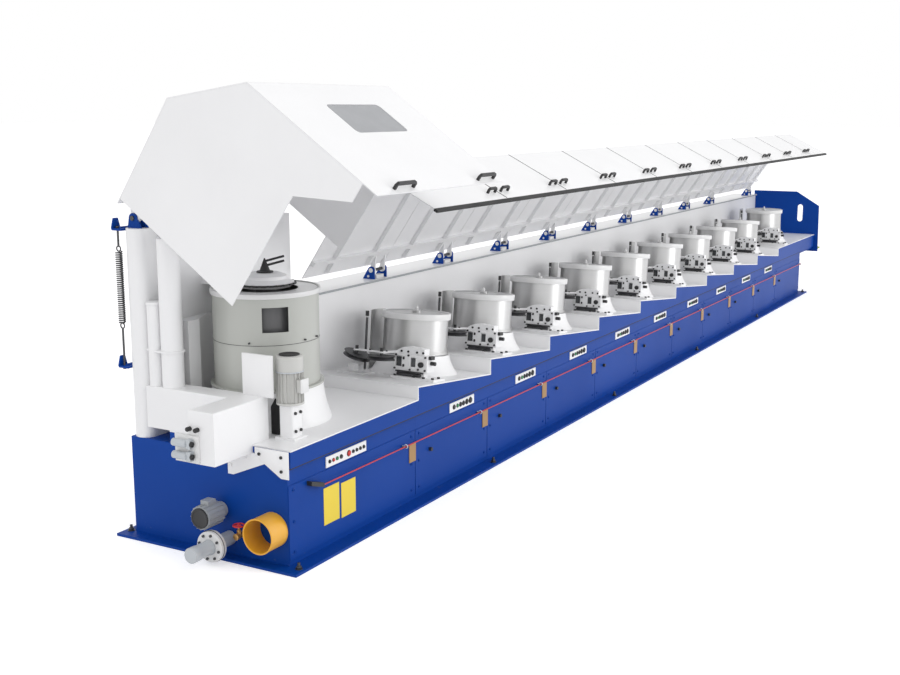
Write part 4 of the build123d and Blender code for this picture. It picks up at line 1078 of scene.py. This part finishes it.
anchor_pitch, anchor_y = 2.910, 0.780
anchor_nut = cylinder(0.021, 0.018, (0, 0, 0.033), sides=6)
anchor_stud = cylinder(0.011, 0.046, (0, 0, 0.043), sides=14)
anchor_washer = cylinder(0.028, 0.004, (0, 0, 0.022), sides=24)
anchor = joined(
    rounded(anchor_nut, 0.002), rounded(anchor_stud, 0.0015, 1), rounded(anchor_washer, 0.001, 1)
)
anchor_places = [
    at_place((step - 2.5) * anchor_pitch, side * anchor_y, 0)
    for step in range(6)
    for side in (-1, 1)
]
finished(row_of(anchor, anchor_places), "anchor_nuts", oiled_steel)


# Pale floor, which keeps the shadow, and a white backdrop

FLOOR_GLOW = 0.45
WORLD_LIGHT, WORLD_SHOWN = 0.88, 1.0
MIRRORED_OR_SEEN_THROUGH = ("Is Glossy Ray", "Is Transmission Ray")

bpy.ops.mesh.primitive_plane_add(size=400, location=(0, 0, -0.001))
floor = bpy.context.object
floor.name = "studio_floor"
floor_finish = Finish("studio_floor")
rays = floor_finish.tree.nodes.new("ShaderNodeLightPath")
floor_seen = Value(floor_finish, rays.outputs["Is Camera Ray"])
for kind in MIRRORED_OR_SEEN_THROUGH:
    floor_seen = floor_seen.maths("MAXIMUM", Value(floor_finish, rays.outputs[kind]))
diffuse = floor_finish.add("ShaderNodeBsdfDiffuse", {}, {"Color": (0.86, 0.86, 0.87)})
glow = floor_finish.add(
    "ShaderNodeEmission", {}, {"Color": (1, 1, 1), "Strength": FLOOR_GLOW}
)
glowing = floor_finish.add("ShaderNodeAddShader", {}, [diffuse, glow])
floor_mix = floor_finish.add("ShaderNodeMixShader", {}, [floor_seen, diffuse, glowing])
floor_output = floor_finish.tree.nodes.new("ShaderNodeOutputMaterial")
floor_finish.tree.links.new(floor_mix.socket, floor_output.inputs[0])
floor.data.materials.append(floor_finish.material)

world = bpy.data.worlds.new("studio")
world.use_nodes = True
bpy.context.scene.world = world
backdrop = world.node_tree
backdrop.nodes.clear()
paths = backdrop.nodes.new("ShaderNodeLightPath")
world_seen = paths.outputs["Is Camera Ray"]
for kind in MIRRORED_OR_SEEN_THROUGH:
    either = backdrop.nodes.new("ShaderNodeMath")
    either.operation = "MAXIMUM"
    backdrop.links.new(world_seen, either.inputs[0])
    backdrop.links.new(paths.outputs[kind], either.inputs[1])
    world_seen = either.outputs[0]
blend = backdrop.nodes.new("ShaderNodeMixShader")
backdrop.links.new(world_seen, blend.inputs[0])
for socket, strength in ((1, WORLD_LIGHT), (2, WORLD_SHOWN)):
    background = backdrop.nodes.new("ShaderNodeBackground")
    background.inputs["Color"].default_value = (1, 1, 1, 1)
    background.inputs["Strength"].default_value = strength
    backdrop.links.new(background.outputs[0], blend.inputs[socket])
world_output = backdrop.nodes.new("ShaderNodeOutputWorld")
backdrop.links.new(blend.outputs[0], world_output.inputs[0])

# Camera at the photograph's viewing angle

camera_yaw = 0.5147
camera_pitch = 0.1899
camera_data = bpy.data.cameras.new("camera")
camera_data.lens = 47.54
camera_data.sensor_width = 36
camera_data.clip_end = 500
camera = bpy.data.objects.new("camera", camera_data)
bpy.context.collection.objects.link(camera)
camera.location = (-13.513, -5.506, 3.138)
sight = Vector(
    (
        math.cos(camera_pitch) * math.cos(camera_yaw),
        math.cos(camera_pitch) * math.sin(camera_yaw),
        -math.sin(camera_pitch),
    )
)
camera.rotation_euler = sight.to_track_quat("-Z", "Y").to_euler()
bpy.context.scene.camera = camera

# Soft studio lamps: name, place, width in metres and watts

lamp_target = Vector((0, 0, 1))
for name, place, size, power in (
    ("key", (-9, -13, 12), 9, 330),
    ("fill", (8, -16, 9), 12, 420),
    ("near_end", (-20, 1, 5), 8, 140),
    ("low_front", (2, -15, 1.4), 8, 620),
):
    lamp_data = bpy.data.lights.new(name, "AREA")
    lamp_data.size = size
    lamp_data.energy = power
    lamp = bpy.data.objects.new(name, lamp_data)
    bpy.context.collection.objects.link(lamp)
    lamp.location = place
    aim = lamp_target - Vector(place)
    lamp.rotation_euler = aim.to_track_quat("-Z", "Y").to_euler()

bpy.context.scene.view_settings.view_transform = "Standard"
